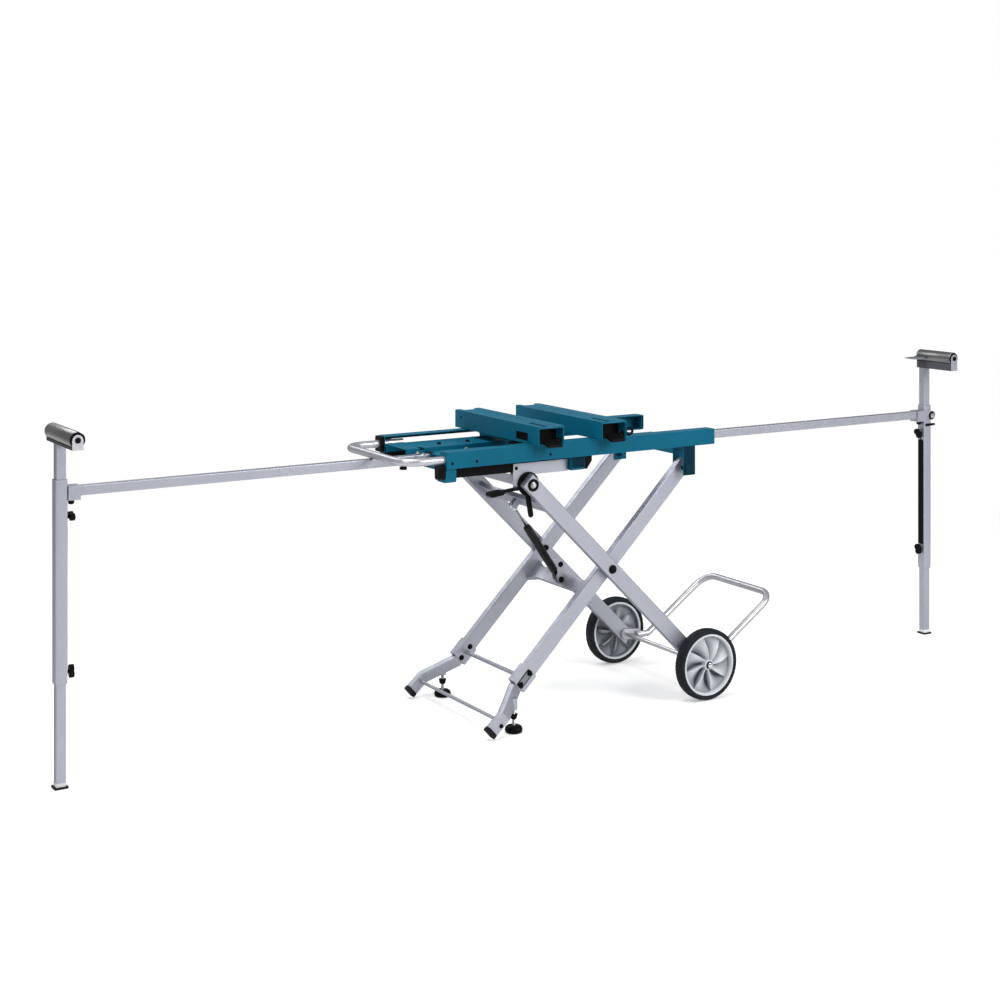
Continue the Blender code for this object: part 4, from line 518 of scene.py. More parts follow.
# Geometry Nodes: a part repeated round an axis, and headed fasteners on marked points
class Recipe(Wiring):
    """A Geometry Nodes tree with named inputs."""

    def __init__(self, name):
        super().__init__(bpy.data.node_groups.new(name, "GeometryNodeTree"))
        self.inputs = self.node("NodeGroupInput")
        self.outputs = self.node("NodeGroupOutput")
        self.geometry = self.ask("Geometry", "Geometry")
        self.tree.interface.new_socket("Geometry", in_out="OUTPUT", socket_type="NodeSocketGeometry")

    def ask(self, label, kind):
        self.tree.interface.new_socket(label, in_out="INPUT", socket_type="NodeSocket" + kind)
        return self.inputs.outputs[label]

    def close(self, geometry, material):
        real = self.add("GeometryNodeRealizeInstances", Geometry=geometry)
        painted = self.add("GeometryNodeSetMaterial", Geometry=real, Material=material)
        self.feed(self.outputs, i0=painted)
        return self.tree


def grown(piece, tree, values):
    """Runs a recipe on a piece, with its named inputs set, and keeps the result as plain mesh."""
    modifier = piece.modifiers.new(tree.name, "NODES")
    modifier.node_group = tree
    for item in tree.interface.items_tree:
        if item.item_type == "SOCKET" and item.in_out == "INPUT" and item.name in values:
            modifier[item.identifier] = values[item.name]
    return settle(piece)


def ring_recipe():
    """Repeats the incoming segment evenly round the Y axis through a centre."""
    recipe = Recipe("repeat_round_axle")
    count = recipe.ask("Count", "Int")
    centre = recipe.ask("Centre", "Vector")
    weld = recipe.ask("Weld Distance", "Float")
    material = recipe.ask("Material", "Material")
    back = recipe.add("ShaderNodeVectorMath", {"operation": "SCALE"}, i0=centre, i3=-1.0)
    homed = recipe.add("GeometryNodeTransform", Geometry=recipe.geometry, Translation=back)
    segment = recipe.add("GeometryNodeGeometryToInstance", Geometry=homed)
    marks = recipe.add("GeometryNodePoints", Count=count, Position=centre)
    index = recipe.add("GeometryNodeInputIndex")
    turn = recipe.maths("MULTIPLY", recipe.maths("DIVIDE", index, count), 2 * math.pi)
    spin = recipe.add("ShaderNodeCombineXYZ", Y=turn)
    copies = recipe.add("GeometryNodeInstanceOnPoints", Points=marks, Instance=segment, Rotation=spin)
    real = recipe.add("GeometryNodeRealizeInstances", Geometry=copies)
    welded = recipe.add("GeometryNodeMergeByDistance", Geometry=real, Distance=weld)
    return recipe.close(welded, material)


def fastener_recipe():
    """Puts a hexagon head with its washer on each incoming point, along the point's facing."""
    recipe = Recipe("headed_fasteners")
    head = recipe.ask("Head Radius", "Float")
    height = recipe.ask("Head Height", "Float")
    sides = recipe.ask("Head Sides", "Int")
    washer = recipe.ask("Washer Radius", "Float")
    thickness = recipe.ask("Washer Thickness", "Float")
    material = recipe.ask("Material", "Material")
    disc = recipe.add("GeometryNodeMeshCylinder", Vertices=28, Radius=washer, Depth=thickness)
    disc_lift = recipe.add("ShaderNodeCombineXYZ", Z=recipe.maths("MULTIPLY", thickness, 0.5))
    disc_up = recipe.add("GeometryNodeTransform", Geometry=disc, Translation=disc_lift)
    narrow = recipe.maths("MULTIPLY", head, 0.9)
    body = recipe.add("GeometryNodeMeshCone", Vertices=sides, Depth=height, Radius_Bottom=head,
                      Radius_Top=narrow)
    body_lift = recipe.add("ShaderNodeCombineXYZ", Z=thickness)
    body_up = recipe.add("GeometryNodeTransform", Geometry=body, Translation=body_lift)
    both = recipe.add("GeometryNodeJoinGeometry", i0=[disc_up, body_up])
    facing = recipe.add("GeometryNodeInputNamedAttribute", {"data_type": "FLOAT_VECTOR"}, Name="facing")
    aim = recipe.add("FunctionNodeAlignRotationToVector", {"axis": "Z"}, Vector=facing)
    marks = recipe.add("GeometryNodeMeshToPoints", Mesh=recipe.geometry)
    copies = recipe.add("GeometryNodeInstanceOnPoints", Points=marks, Instance=both, Rotation=aim)
    return recipe.close(copies, material)


RING = ring_recipe()
FASTENERS = fastener_recipe()


def fasteners(name, body, marks, material, head, height, washer):
    """Hexagon heads and washers at marks of (point, facing)."""
    mesh = bpy.data.meshes.new(name)
    mesh.from_pydata([tuple(point) for point, _ in marks], [], [])
    facing = mesh.attributes.new("facing", "FLOAT_VECTOR", "POINT")
    for k, (_, way) in enumerate(marks):
        facing.data[k].vector = way
    piece = bpy.data.objects.new(name, mesh)
    bpy.context.scene.collection.objects.link(piece)
    grown(piece, FASTENERS, {"Head Radius": head, "Head Height": height, "Head Sides": 6,
                             "Washer Radius": washer, "Washer Thickness": 0.0009, "Material": material})
    piece.data.shade_smooth()
    piece.data.set_sharp_from_angle(angle=math.radians(30.0))
    return carried(piece, body, slot=SLOT_OF[material.name])


# Finished CAD pieces: body, finish, edge break, nodes
finished = [
    ("table", TEAL, 0.0009, "front_rail", "rear_rail"),
    ("table", TEAL, 0.0005, "bar_housing"),
    ("table", TEAL, 0.0007, "spine_channel"),
    ("table", BLACK, 0.0004, "front_slide_track", "rear_slide_track"),
    ("left_saw_arm", TEAL, 0.0010, "left_saw_arm"),
    ("right_saw_arm", TEAL, 0.0010, "right_saw_arm"),
    ("left_arm_lever", BLACK, 0.0008, "left_arm_lever"),
    ("right_arm_lever", BLACK, 0.0008, "right_arm_lever"),
    ("inner_frame", SILVER, 0.0005, "inner_leg_frame"),
    ("outer_frame", SILVER, 0.0005, "outer_leg_frame"),
    ("inner_frame", SILVER, 0.0006, "foot_sleeves"),
    ("inner_frame", SILVER, 0.0005, "foot_frame"),
    ("inner_frame", RUBBER, 0.0030, "front_toe_cap", "rear_toe_cap"),
    ("outer_frame", BLACK, 0.0006, "latch_arm"),
    ("carriage", SILVER, 0.0004, "carriage_frame"),
    ("release_lever", BLACK, 0.0010, "release_lever"),
    ("left_bar_knob", BLACK, 0.0008, "left_bar_knob"),
    ("stop_plate", PANEL_GREY, 0.0004, "right_stop_plate"),
]
# The left channel takes the darker head paint as painted shade under its roller
for side, head_paint in (("left_", HEAD_PAINTED_SHADE), ("right_", HEAD_GREY)):
    finished += [
        (side + "bar", SILVER, 0.0004, side + "bar", side + "pole"),
        (side + "head", SILVER, 0.0003, side + "upper_post"),
        (side + "lower_post", SILVER, 0.0003, side + "lower_post"),
        (side + "head", head_paint, 0.0005, side + "roller_channel"),
        (side + "upper_knob", BLACK, 0.0012, side + "upper_knob"),
        (side + "lower_knob", BLACK, 0.0012, side + "lower_knob"),
    ]
for body, material, edge, *covered in finished:
    for node in covered:
        dressed(node, body, material, edge)

# Carry handle: one bent round bar
HANDLE_RADIUS = 0.0095
HANDLE_BEND = 0.048
handle_low, handle_high = box_of("carry_handle")
handle_z = middle_of("carry_handle").z
handle_y = handle_high.y - HANDLE_RADIUS
grip_x = handle_low.x + HANDLE_RADIUS
handle_corners = [Vector((x, y, handle_z)) for x, y in (
    (handle_high.x, -handle_y), (grip_x, -handle_y), (grip_x, handle_y), (handle_high.x, handle_y))]
handle = tube("carry_handle_tube", bent_path(handle_corners, HANDLE_BEND), HANDLE_RADIUS, BRIGHT_TUBE)
carried(handle, "table", "carry_handle")

# Ground loop: one bent round bar on two plates that hang on the axle
AXLE_X = 0.355
AXLE_Z = 0.092
LOOP_RADIUS = 0.009
LOOP_BEND = 0.045
LOOP_Y = 0.1445
LOOP_FOOT_X = 0.386
LOOP_KNEE_X = 0.425
LOOP_FOOT_Z = 0.087
LOOP_TOP_X = 0.632
LOOP_TOP_Z = 0.228
LOOP_PLATE_IN = 0.150
LOOP_PLATE_OUT = 0.1575
LOOP_PLATE_END_X = 0.395
LOOP_PLATE_RADIUS = 0.014
loop_knees = [at(LOOP_KNEE_X, y, LOOP_FOOT_Z) for y in (-LOOP_Y, LOOP_Y)]
loop_tops = [at(LOOP_TOP_X, y, LOOP_TOP_Z) for y in (-LOOP_Y, LOOP_Y)]
loop_path = bent_path([loop_knees[0], loop_tops[0], loop_tops[1], loop_knees[1]], LOOP_BEND)
loop_path = [at(LOOP_FOOT_X, -LOOP_Y, LOOP_FOOT_Z)] + loop_path + [at(LOOP_FOOT_X, LOOP_Y, LOOP_FOOT_Z)]
loop_pieces = [tube("loop_tube", loop_path, LOOP_RADIUS, BRIGHT_TUBE)]
loop_plate = capsule(AXLE_X, AXLE_Z, LOOP_PLATE_END_X, LOOP_FOOT_Z, LOOP_PLATE_RADIUS)
for word, side in SIDES:
    loop_pieces.append(extruded("loop_plate", loop_plate, on_y, *span(side, LOOP_PLATE_IN, LOOP_PLATE_OUT),
                                BRIGHT_TUBE, 0.0008))
carried(joined("ground_loop_tube", loop_pieces), "outer_frame", "ground_loop")

# Hinge pins, centre bolts and carriage bolts: an inner nut, a shank and a head on the outer face
HEAD_SEAT = 0.1785
SHANK_RADIUS = 0.005
NUT_RADIUS = 0.0078
NUT_FACE_RADIUS = 0.007
NUT_STRAIGHT = 0.004
NUT_HEIGHT = 0.0045
DOME_RADIUS = 0.0112
DISC_RADIUS = 0.0075
CARRIAGE_HEAD_Y = 0.1795
# Heads as (share of the head's radius, height)
DOME = ((1.0, 0.0), (1.0, 0.0012), (0.93, 0.0026), (0.6, 0.0040), (0.25, 0.0045), (0.0, 0.0045))
DISC = ((1.0, 0.0), (1.0, 0.0006), (0.8, 0.0010), (0.0, 0.0010))
CARRIAGE_WASHER = [(0.0082, 0.1782), (0.0155, 0.1782), (0.0155, 0.1796), (0.0145, 0.1804), (0.0082, 0.1804)]
PINS = (
    # The hinge pins' heads take the teal's painted shade
    ("_hinge_pin", "table", 0.1305, TEAL_PAINTED_SHADE, DOME_RADIUS, DOME),
    ("_centre_bolt", "outer_frame", 0.1345, BLACK, DOME_RADIUS, DOME),
    ("_carriage_bolt", "outer_frame", 0.1495, ZINC, DISC_RADIUS, DISC),
)
for word, side in SIDES:
    facing = Vector((0.0, side, 0.0))
    for label, body, inner, material, head, outline in PINS:
        pin = [(0.0, inner - NUT_HEIGHT), (NUT_FACE_RADIUS, inner - NUT_HEIGHT),
               (NUT_RADIUS, inner - NUT_STRAIGHT), (NUT_RADIUS, inner), (SHANK_RADIUS, inner),
               (SHANK_RADIUS, HEAD_SEAT)]
        pin += [(head * share, HEAD_SEAT + height) for share, height in outline]
        turned(word + label + "_turned", pin, axis_of(word + label), facing, 32, material, body, word + label,
               slot="bright_steel")
    slider = axis_of(word + "_carriage_bolt")
    marks = [(slider + facing * CARRIAGE_HEAD_Y, facing)]
    fasteners(word + "_carriage_bolt_head", "outer_frame", marks, ZINC, 0.0062, 0.0032, 0.0068)
    turned(word + "_carriage_washer", CARRIAGE_WASHER, slider, facing, 40, BLACK, "outer_frame", closed=True)

# Wheel hubs: rim, boss and vanes
RIM = [
    (0.0738, -0.0138), (0.0765, -0.0140), (0.0790, -0.0138), (0.0795, -0.0125), (0.0795, 0.0125),
    (0.0790, 0.0138), (0.0765, 0.0141), (0.0745, 0.0136), (0.0738, 0.0120), (0.0730, 0.0062),
    (0.0722, 0.0045), (0.0722, -0.0045), (0.0730, -0.0062), (0.0738, -0.0120)]
BOSS = [
    (0.0064, -0.0165), (0.0115, -0.0165), (0.0128, -0.0152), (0.0138, -0.0045), (0.0160, -0.0030),
    (0.0160, 0.0030), (0.0138, 0.0045), (0.0128, 0.0118), (0.0116, 0.0130), (0.0064, 0.0132)]
VANE_COUNT = 8
VANE_ROOT = 0.0120
VANE_TIP = 0.0735
VANE_SWEEP = 0.30
VANE_CLIMB = 0.0118
VANE_HALF = 0.0015
VANE_ROWS = 14
VANE_CELLS = 12
WALL_HALF = 0.0011
WALL_PROUD = 0.0012
WALL_CELLS = 4


def vane_climb(share):
    """How far a vane's edge rises over the hub's middle, at a share of the way from root to tip."""
    rise = 0.45 + 0.55 * math.sin(math.pi * min(1.0, share + 0.12))
    return VANE_CLIMB * rise * (1.0 - 0.75 * share ** 5)


def vane_slab(work, near, far, cells):
    """Closes two grids of points into a solid sheet."""
    for i in range(VANE_ROWS):
        for j in range(cells):
            work.faces.new((near[i][j], near[i + 1][j], near[i + 1][j + 1], near[i][j + 1]))
            work.faces.new((far[i][j], far[i][j + 1], far[i + 1][j + 1], far[i + 1][j]))
        work.faces.new((near[i][0], far[i][0], far[i + 1][0], near[i + 1][0]))
        work.faces.new((near[i][cells], near[i + 1][cells], far[i + 1][cells], far[i][cells]))
    for j in range(cells):
        work.faces.new((near[0][j], near[0][j + 1], far[0][j + 1], far[0][j]))
        work.faces.new((near[VANE_ROWS][j], far[VANE_ROWS][j], far[VANE_ROWS][j + 1], near[VANE_ROWS][j + 1]))


def vane_segment(name, centre, side):
    """One twisted vane with the radial wall that drops to the next one."""
    work = bmesh.new()
    rows = [i / VANE_ROWS for i in range(VANE_ROWS + 1)]

    def spot(share, across, depth, lean=0.0):
        radius = VANE_ROOT + (VANE_TIP - VANE_ROOT) * share
        sweep = VANE_SWEEP * share * (1.0 - 0.4 * share)
        angle = side * (2 * math.pi / VANE_COUNT * across + sweep) + lean / radius
        return work.verts.new((centre.x + radius * math.cos(angle), centre.y + side * depth,
                               centre.z - radius * math.sin(angle)))

    skins = []
    for skin in (VANE_HALF, -VANE_HALF):
        skins.append([[spot(share, j / VANE_CELLS, vane_climb(share) * (1.0 - 2.0 * j / VANE_CELLS) + skin)
                       for j in range(VANE_CELLS + 1)] for share in rows])
    vane_slab(work, *skins, VANE_CELLS)
    walls = []
    for lean in (-WALL_HALF, WALL_HALF):
        walls.append([[spot(share, 1.0, (vane_climb(share) + WALL_PROUD) * (1.0 - 2.0 * j / WALL_CELLS), lean)
                       for j in range(WALL_CELLS + 1)] for share in rows])
    vane_slab(work, *walls, WALL_CELLS)
    bmesh.ops.recalc_face_normals(work, faces=work.faces)
    return finish_mesh(name, work, HUB, 30.0)


def wheel_hub(word, side, centre):
    out = Vector((0.0, side, 0.0))
    rim = lathe(word + "_rim", RIM, centre, out, 96, HUB, closed=True)
    boss = lathe(word + "_boss", BOSS, centre, out, 64, HUB, closed=True)
    vanes = vane_segment(word + "_vanes", centre, side)
    grown(vanes, RING, {"Count": VANE_COUNT, "Centre": tuple(centre), "Weld Distance": 0.0, "Material": HUB})
    hub = joined(word + "_hub_moulding", [rim, boss, vanes])
    carried(hub, word + "_wheel", word + "_wheel_hub")


# Tyres: half the section, and how deep a lug's shoulder is sunk along its pitch
TYRE_SECTION = mirrored([
    (0.0800, -0.0140), (0.0812, -0.0158), (0.0835, -0.0168), (0.0862, -0.0166), (0.0888, -0.0152),
    (0.0904, -0.0128), (0.0909, -0.0104), (0.0903, -0.0098), (0.0903, -0.0088), (0.0914, -0.0080),
    (0.0918, -0.0030)])
LUG_COUNT = 60
LUG_SINK = 0.0009
LUG_WELD = 0.00002
LUG_STEPS = ((0.0, 0.0), (0.70, 0.0), (0.76, LUG_SINK), (0.94, LUG_SINK), (1.0, 0.0))
SHOULDER_IN = 0.0100
SHOULDER_OUT = 0.0160
SHOULDER_RADIUS = 0.0885


def wheel_tyre(word, side, centre):
    """One lug of the tyre, repeated round the wheel."""
    work = bmesh.new()
    lines = []
    for step, sink in LUG_STEPS:
        angle = 2 * math.pi / LUG_COUNT * step
        line = []
        for radius, depth in TYRE_SECTION:
            on_shoulder = SHOULDER_IN < abs(depth) < SHOULDER_OUT and radius > SHOULDER_RADIUS
            reach = radius - sink if on_shoulder else radius
            line.append(work.verts.new((centre.x + reach * math.sin(angle), centre.y + side * depth,
                                        centre.z + reach * math.cos(angle))))
        lines.append(line)
    for near, far in zip(lines, lines[1:]):
        for k in range(len(near)):
            nxt = (k + 1) % len(near)
            work.faces.new((near[k], near[nxt], far[nxt], far[k]))
    bmesh.ops.recalc_face_normals(work, faces=work.faces)
    tyre = finish_mesh(word + "_tyre_segment", work, TYRE, 50.0)
    grown(tyre, RING, {"Count": LUG_COUNT, "Centre": tuple(centre), "Weld Distance": LUG_WELD,
                       "Material": TYRE})
    work = bmesh.new()
    work.from_mesh(tyre.data)
    bmesh.ops.recalc_face_normals(work, faces=work.faces)
    bpy.data.objects.remove(tyre)
    carried(finish_mesh(word + "_tyre_tread", work, TYRE, 35.0), word + "_wheel", word + "_tyre")


for word, side in SIDES:
    hub_centre = middle_of(word + "_wheel_hub")
    wheel_hub(word, side, hub_centre)
    wheel_tyre(word, side, hub_centre)

# Axle with its washers and end caps
AXLE = mirrored([(0.0, -0.2212), (0.0060, -0.2212), (0.0060, -0.1886), (0.0098, -0.1884), (0.0098, -0.1786),
                 (0.0060, -0.1784)])
AXLE_WASHER = [(0.0062, 0.2190), (0.0092, 0.2190), (0.0096, 0.2193), (0.0096, 0.2204), (0.0088, 0.2212),
               (0.0062, 0.2212)]
AXLE_CAP = [(0.0, 0.2214), (0.0064, 0.2214), (0.0072, 0.2218), (0.0074, 0.2230), (0.0070, 0.2248),
            (0.0052, 0.2261), (0.0, 0.2266)]
axle_place = at(AXLE_X, 0.0, AXLE_Z)
turned("axle_bar", AXLE, axle_place, (0.0, 1.0, 0.0), 40, ZINC, "outer_frame", "wheel_axle")
for word, side in SIDES:
    out = (0.0, side, 0.0)
    turned(word + "_axle_washer", AXLE_WASHER, axle_place, out, 48, BLACK, "outer_frame", closed=True)
    turned(word + "_axle_cap", AXLE_CAP, axle_place, out, 48, CHROME, "outer_frame")

# Rollers: a turned steel tube with black end plugs on a fixed axle with black end caps
ROLLER_BACK = 0.003
STUB_PROUD = 0.0005


def roller(side_word):
    channel_low, channel_high = box_of(side_word + "_roller_channel")
    half = (channel_high.y - channel_low.y) / 2 - ROLLER_BACK
    stub = half + ROLLER_BACK + STUB_PROUD
    body = side_word + "_roller"
    middle = middle_of(body)
    skin = mirrored([(0.0166, -half + 0.0004), (0.0172, -half), (0.0177, -half + 0.0002),
                     (0.0180, -half + 0.0009)])
    turned(side_word + "_roller_turned", skin, middle, (0.0, 1.0, 0.0), 72, ROLLER, body, body, closed=True)
    plug = [(0.0040, half - 0.0120), (0.0165, half - 0.0120), (0.0165, half + 0.0002),
            (0.0158, half + 0.0005), (0.0110, half + 0.0003), (0.0060, half + 0.0006),
            (0.0040, half + 0.0006)]
    cap = [(0.0, half - 0.0110), (0.0039, half - 0.0110), (0.0039, stub), (0.0062, stub),
           (0.0065, stub + 0.0006), (0.0064, stub + 0.0020), (0.0056, stub + 0.0031), (0.0030, stub + 0.0035),
           (0.0, stub + 0.0035)]
    for word, side in SIDES:
        name = side_word + "_" + word
        turned(name + "_roller_plug", plug, middle, (0.0, side, 0.0), 56, BLACK, body, closed=True)
        turned(name + "_roller_cap", cap, middle, (0.0, side, 0.0), 40, BLACK, body)


roller("left")
roller("right")

# Gas strut: each end is a place on X and Z
STRUT_FOOT = (0.02586, 0.32233)
STRUT_HEAD = (-0.10866, 0.51673)
STRUT_TUBE = [
    (0.0, 0.004), (0.0066, 0.004), (0.0066, 0.0150), (0.0094, 0.0160), (0.0104, 0.0178), (0.0104, 0.1500),
    (0.0100, 0.1508), (0.0100, 0.1520), (0.0104, 0.1528), (0.0104, 0.1600), (0.0092, 0.1652),
    (0.0070, 0.1660), (0.0045, 0.1660), (0.0045, 0.1560), (0.0, 0.1560)]
STRUT_ROD = [(0.0, 0.100), (0.0038, 0.100), (0.0040, 0.1003), (0.0040, 0.2240), (0.0060, 0.2245),
             (0.0060, 0.2310), (0.0, 0.2310)]
strut_foot = on_y(*STRUT_FOOT, 0.0)
strut_way = on_y(*STRUT_HEAD, 0.0) - strut_foot
for label, body, profile, count, paint, end, eye_radius, eye_half, edge in (
        ("tube", "strut_cylinder", STRUT_TUBE, 48, BLACK_PAINT, STRUT_FOOT, 0.009, 0.008, 0.0008),
        ("rod", "strut_rod", STRUT_ROD, 40, CHROME, STRUT_HEAD, 0.008, 0.0042, 0.0007)):
    stick = lathe("strut_" + label, profile, strut_foot, strut_way, count, paint)
    eye = extruded("strut_eye", ring(eye_radius, 32, *end), on_y, -eye_half, eye_half, paint, edge)
    carried(joined(body + "_finished", [stick, eye]), body, body)

# Levelling feet: a thick domed pad, a bright threaded stem and a cone nut
LEVEL_X = -0.217
LEVEL_Y = 0.1769
LEVEL_PAD = [
    (0.0, 0.0), (0.0178, 0.0), (0.0200, 0.0012), (0.0214, 0.0034), (0.0219, 0.0060), (0.0218, 0.0092),
    (0.0211, 0.0120), (0.0195, 0.0146), (0.0168, 0.0164), (0.0130, 0.0174), (0.0074, 0.0178), (0.0, 0.0178)]
LEVEL_NUT = [(0.0, 0.0328), (0.0062, 0.0328), (0.0076, 0.0340), (0.0098, 0.0432), (0.0099, 0.0448),
             (0.0092, 0.0453), (0.0, 0.0453)]
STEM_LOW = 0.0172
STEM_TOP = 0.0680
THREAD_LOW = 0.0180
THREAD_HIGH = 0.0672
THREAD_ROOT = 0.0034
THREAD_CREST = 0.0040
THREAD_RISE = 0.0011
THREAD_TURNS = 24
stem = [(0.0, STEM_LOW), (0.0038, STEM_LOW)]
for k in range(THREAD_TURNS):
    height = THREAD_LOW + (THREAD_HIGH - THREAD_LOW) * k / THREAD_TURNS
    stem += [(THREAD_ROOT, height), (THREAD_CREST, height + THREAD_RISE)]
stem += [(THREAD_ROOT, STEM_TOP), (0.0, STEM_TOP)]
UP = (0.0, 0.0, 1.0)
for word, side in SIDES:
    spot = at(LEVEL_X, side * LEVEL_Y, 0.0)
    body = word + "_levelling_foot"
    pad = lathe("level_pad", LEVEL_PAD, spot, UP, 56, BLACK)
    nut = lathe("level_nut", LEVEL_NUT, spot, UP, 12, BLACK)
    carried(joined(body + "_finished", [pad, nut]), body, body)
    turned(word + "_levelling_stem", stem, spot, UP, 20, ZINC, body)


# Small fasteners and trims
def sideways(x, y, z):
    """Marks at a place and its mirror image, each facing away from the middle plane."""
    return [(at(x, side * y, z), (0.0, side, 0.0)) for word, side in SIDES]


def headed(name, body, marks, washer_finish, washer, head_finish, head, height):
    """A washer under a hexagon head, each in its own finish, at marks of (point, facing)."""
    disc = [(0.0, 0.0), (washer, 0.0), (washer, 0.0007), (washer * 0.93, 0.0012), (0.0, 0.0012)]
    top = [(0.0, 0.0013), (head, 0.0013), (head, 0.0010 + height * 0.75), (head * 0.82, 0.0012 + height),
           (0.0, 0.0012 + height)]
    rims = []
    tops = []
    for point, way in marks:
        rims.append(lathe("rim", disc, point, way, 28, washer_finish))
        tops.append(lathe("top", top, point, way, 6, head_finish))
    carried(joined(name + "_washers", rims), body)
    carried(joined(name, tops), body)


# Bolts and nuts of the foot sleeves, placed along the inner leg from its hinge
LEG_SLOPE = math.radians(44.496)
SLEEVE_BOLTS = (0.667, 0.703)
SLEEVE_OUTSIDE = 0.1583
SLEEVE_INSIDE = 0.1317
leg_start = axis_of("front_hinge_pin")
along_leg = Vector((-math.cos(LEG_SLOPE), 0.0, -math.sin(LEG_SLOPE)))
across_leg = Vector((-math.sin(LEG_SLOPE), 0.0, math.cos(LEG_SLOPE)))
for word, side in SIDES:
    out = Vector((0.0, side, 0.0))
    spots = [leg_start + along_leg * distance for distance in SLEEVE_BOLTS]
    bolts = [(spot + out * SLEEVE_OUTSIDE, out) for spot in spots]
    nuts = [(spot + out * SLEEVE_INSIDE, -out) for spot in spots]
    fasteners(word + "_sleeve_bolts", "inner_frame", bolts, BLACK, 0.0052, 0.0030, 0.0074)
    fasteners(word + "_sleeve_nuts", "inner_frame", nuts, BLACK, 0.0052, 0.0036, 0.0070)

# Bolts of the right bar's fork
FORK_X = 1.3455
FORK_Z = 0.6525
FORK_HALF = 0.0169
BAR_Y = 0.0145
fork_marks = [(at(FORK_X, -BAR_Y + side * FORK_HALF, FORK_Z), (0.0, side, 0.0)) for word, side in SIDES]
headed("fork_bolts", "right_bar", fork_marks, BLACK, 0.0122, ZINC, 0.0078, 0.0036)

# Collars where the bars enter the housing
BAR_Z = 0.656
COLLAR_WIDTH = 0.0302
COLLAR_BORE = 0.0281
COLLAR_LENGTH = 0.012
CUT_OVERRUN = 0.002
for side_word, start, y in (("left", -0.351, BAR_Y), ("right", 0.339, -BAR_Y)):
    outside = squircle(COLLAR_WIDTH, COLLAR_WIDTH, 0.0035, y, BAR_Z)
    end = start + COLLAR_LENGTH
    collar = extruded(side_word + "_housing_collar", outside, on_x, start, end, BLACK, 0.0006)
    inside = squircle(COLLAR_BORE, COLLAR_BORE, 0.0022, y, BAR_Z)
    cutter = extruded("collar_bore", inside, on_x, start - CUT_OVERRUN, end + CUT_OVERRUN, BLACK, 0.00005)
    bore = collar.modifiers.new("bore", "BOOLEAN")
    bore.operation = "DIFFERENCE"
    bore.object = cutter
    settle(collar)
    bpy.data.objects.remove(cutter)
    carried(collar, "table")


def shape(name, loop, place, low, high, material, edge, body, *covered):
    """An outline carried from low to high, riding on a body."""
    return carried(extruded(name, loop, place, low, high, material, edge), body, *covered)


def panel(name, width, height, u, v, place, low, high, material, body, corner=0.0015, edge=0.0004):
    """A rectangular plate with round corners about (u, v)."""
    return shape(name, squircle(width, height, corner, u, v), place, low, high, material, edge, body)


# Sleeve windows: a dark frame round a grey panel, along the leg
WINDOW_DISTANCE = 0.6855
WINDOW_CORNER = 0.003
window_middle = leg_start + along_leg * WINDOW_DISTANCE
WINDOWS = (
    ("frame", 0.048, 0.0205, 0.1580, 0.1588, BLACK),
    ("panel", 0.042, 0.0150, 0.1582, 0.1592, PANEL_GREY),
)


def on_sleeve(u, v, w):
    return window_middle + along_leg * u + across_leg * v + Vector((0.0, w, 0.0))


for word, side in SIDES:
    for label, length, width, low, high, material in WINDOWS:
        shape(word + "_sleeve_" + label, squircle(length, width, WINDOW_CORNER), on_sleeve,
              *span(side, low, high), material, 0.0003, "inner_frame")

# Clevis plates of the strut's foot, each with two black bolts
CLEVIS_IN = 0.0124
CLEVIS_OUT = 0.0146
CLEVIS_BOLT_Y = 0.0145
CLEVIS_BOLTS = ((0.0275, 0.3530), (0.0285, 0.3140))
clevis = capsule(0.0275, 0.3530, 0.0280, 0.3150, 0.0085)
for word, side in SIDES:
    shape(word + "_clevis_plate", clevis, on_y, *span(side, CLEVIS_IN, CLEVIS_OUT), END_PLATE, 0.0004,
          "inner_frame")
    marks = [(at(x, side * CLEVIS_BOLT_Y, z), (0.0, side, 0.0)) for x, z in CLEVIS_BOLTS]
    headed(word + "_clevis_bolts", "inner_frame", marks, BLACK, 0.0074, BLACK, 0.0058, 0.0042)

# Plugs in the front rail's holes
RAIL_FACE_Y = -0.178
RAIL_HOLE_Z = 0.671
RAIL_PLUG = [(0.0, -0.0015), (0.0024, -0.0015), (0.0024, 0.0001), (0.0036, 0.0001), (0.0034, 0.0007),
             (0.0, 0.0010)]
plugs = [lathe("plug", RAIL_PLUG, at(x, RAIL_FACE_Y, RAIL_HOLE_Z), (0.0, -1.0, 0.0), 24, BLACK)
         for x in (-0.390, -0.322, -0.110)]
carried(joined("rail_plugs", plugs), "table")

# End stop of the front track and caps of the rear rail's ends
TRACK_STOP = [(-0.172, 0.638), (-0.166, 0.632), (-0.154, 0.632), (-0.149, 0.637), (-0.149, 0.664),
              (-0.151, 0.666), (-0.170, 0.666), (-0.172, 0.664)]
shape("track_end_stop", TRACK_STOP, on_x, -0.4235, -0.4040, BLACK, 0.0012, "table")
for word, start, end in (("left", -0.4150, -0.4048), ("right", 0.4048, 0.4100)):
    panel(word + "_rail_cap", 0.0336, 0.0396, 0.161, 0.678, on_x, start, end, BLACK, "table", 0.003, 0.0008)

# Dark teal sheets over the right track hangers as painted shade, and a slanted black stop on each hanger's
# right side
SHADE_SHEET_WIDTH = 0.0366
HANGER_STOP = [(-0.0027, 0.6573), (-0.0027, 0.6245), (0.0060, 0.6245), (0.0205, 0.6440), (0.0205, 0.6573)]
for word, side in SIDES:
    panel(word + "_hanger_shade_sheet", SHADE_SHEET_WIDTH, 0.0280, -0.0220, 0.6430, on_y, *span(side, 0.1697, 0.1703),
          TEAL_PAINTED_SHADE, "table")
    shape(word + "_hanger_stop", HANGER_STOP, on_y, *span(side, 0.1500, 0.1690), BLACK, 0.0010, "table")

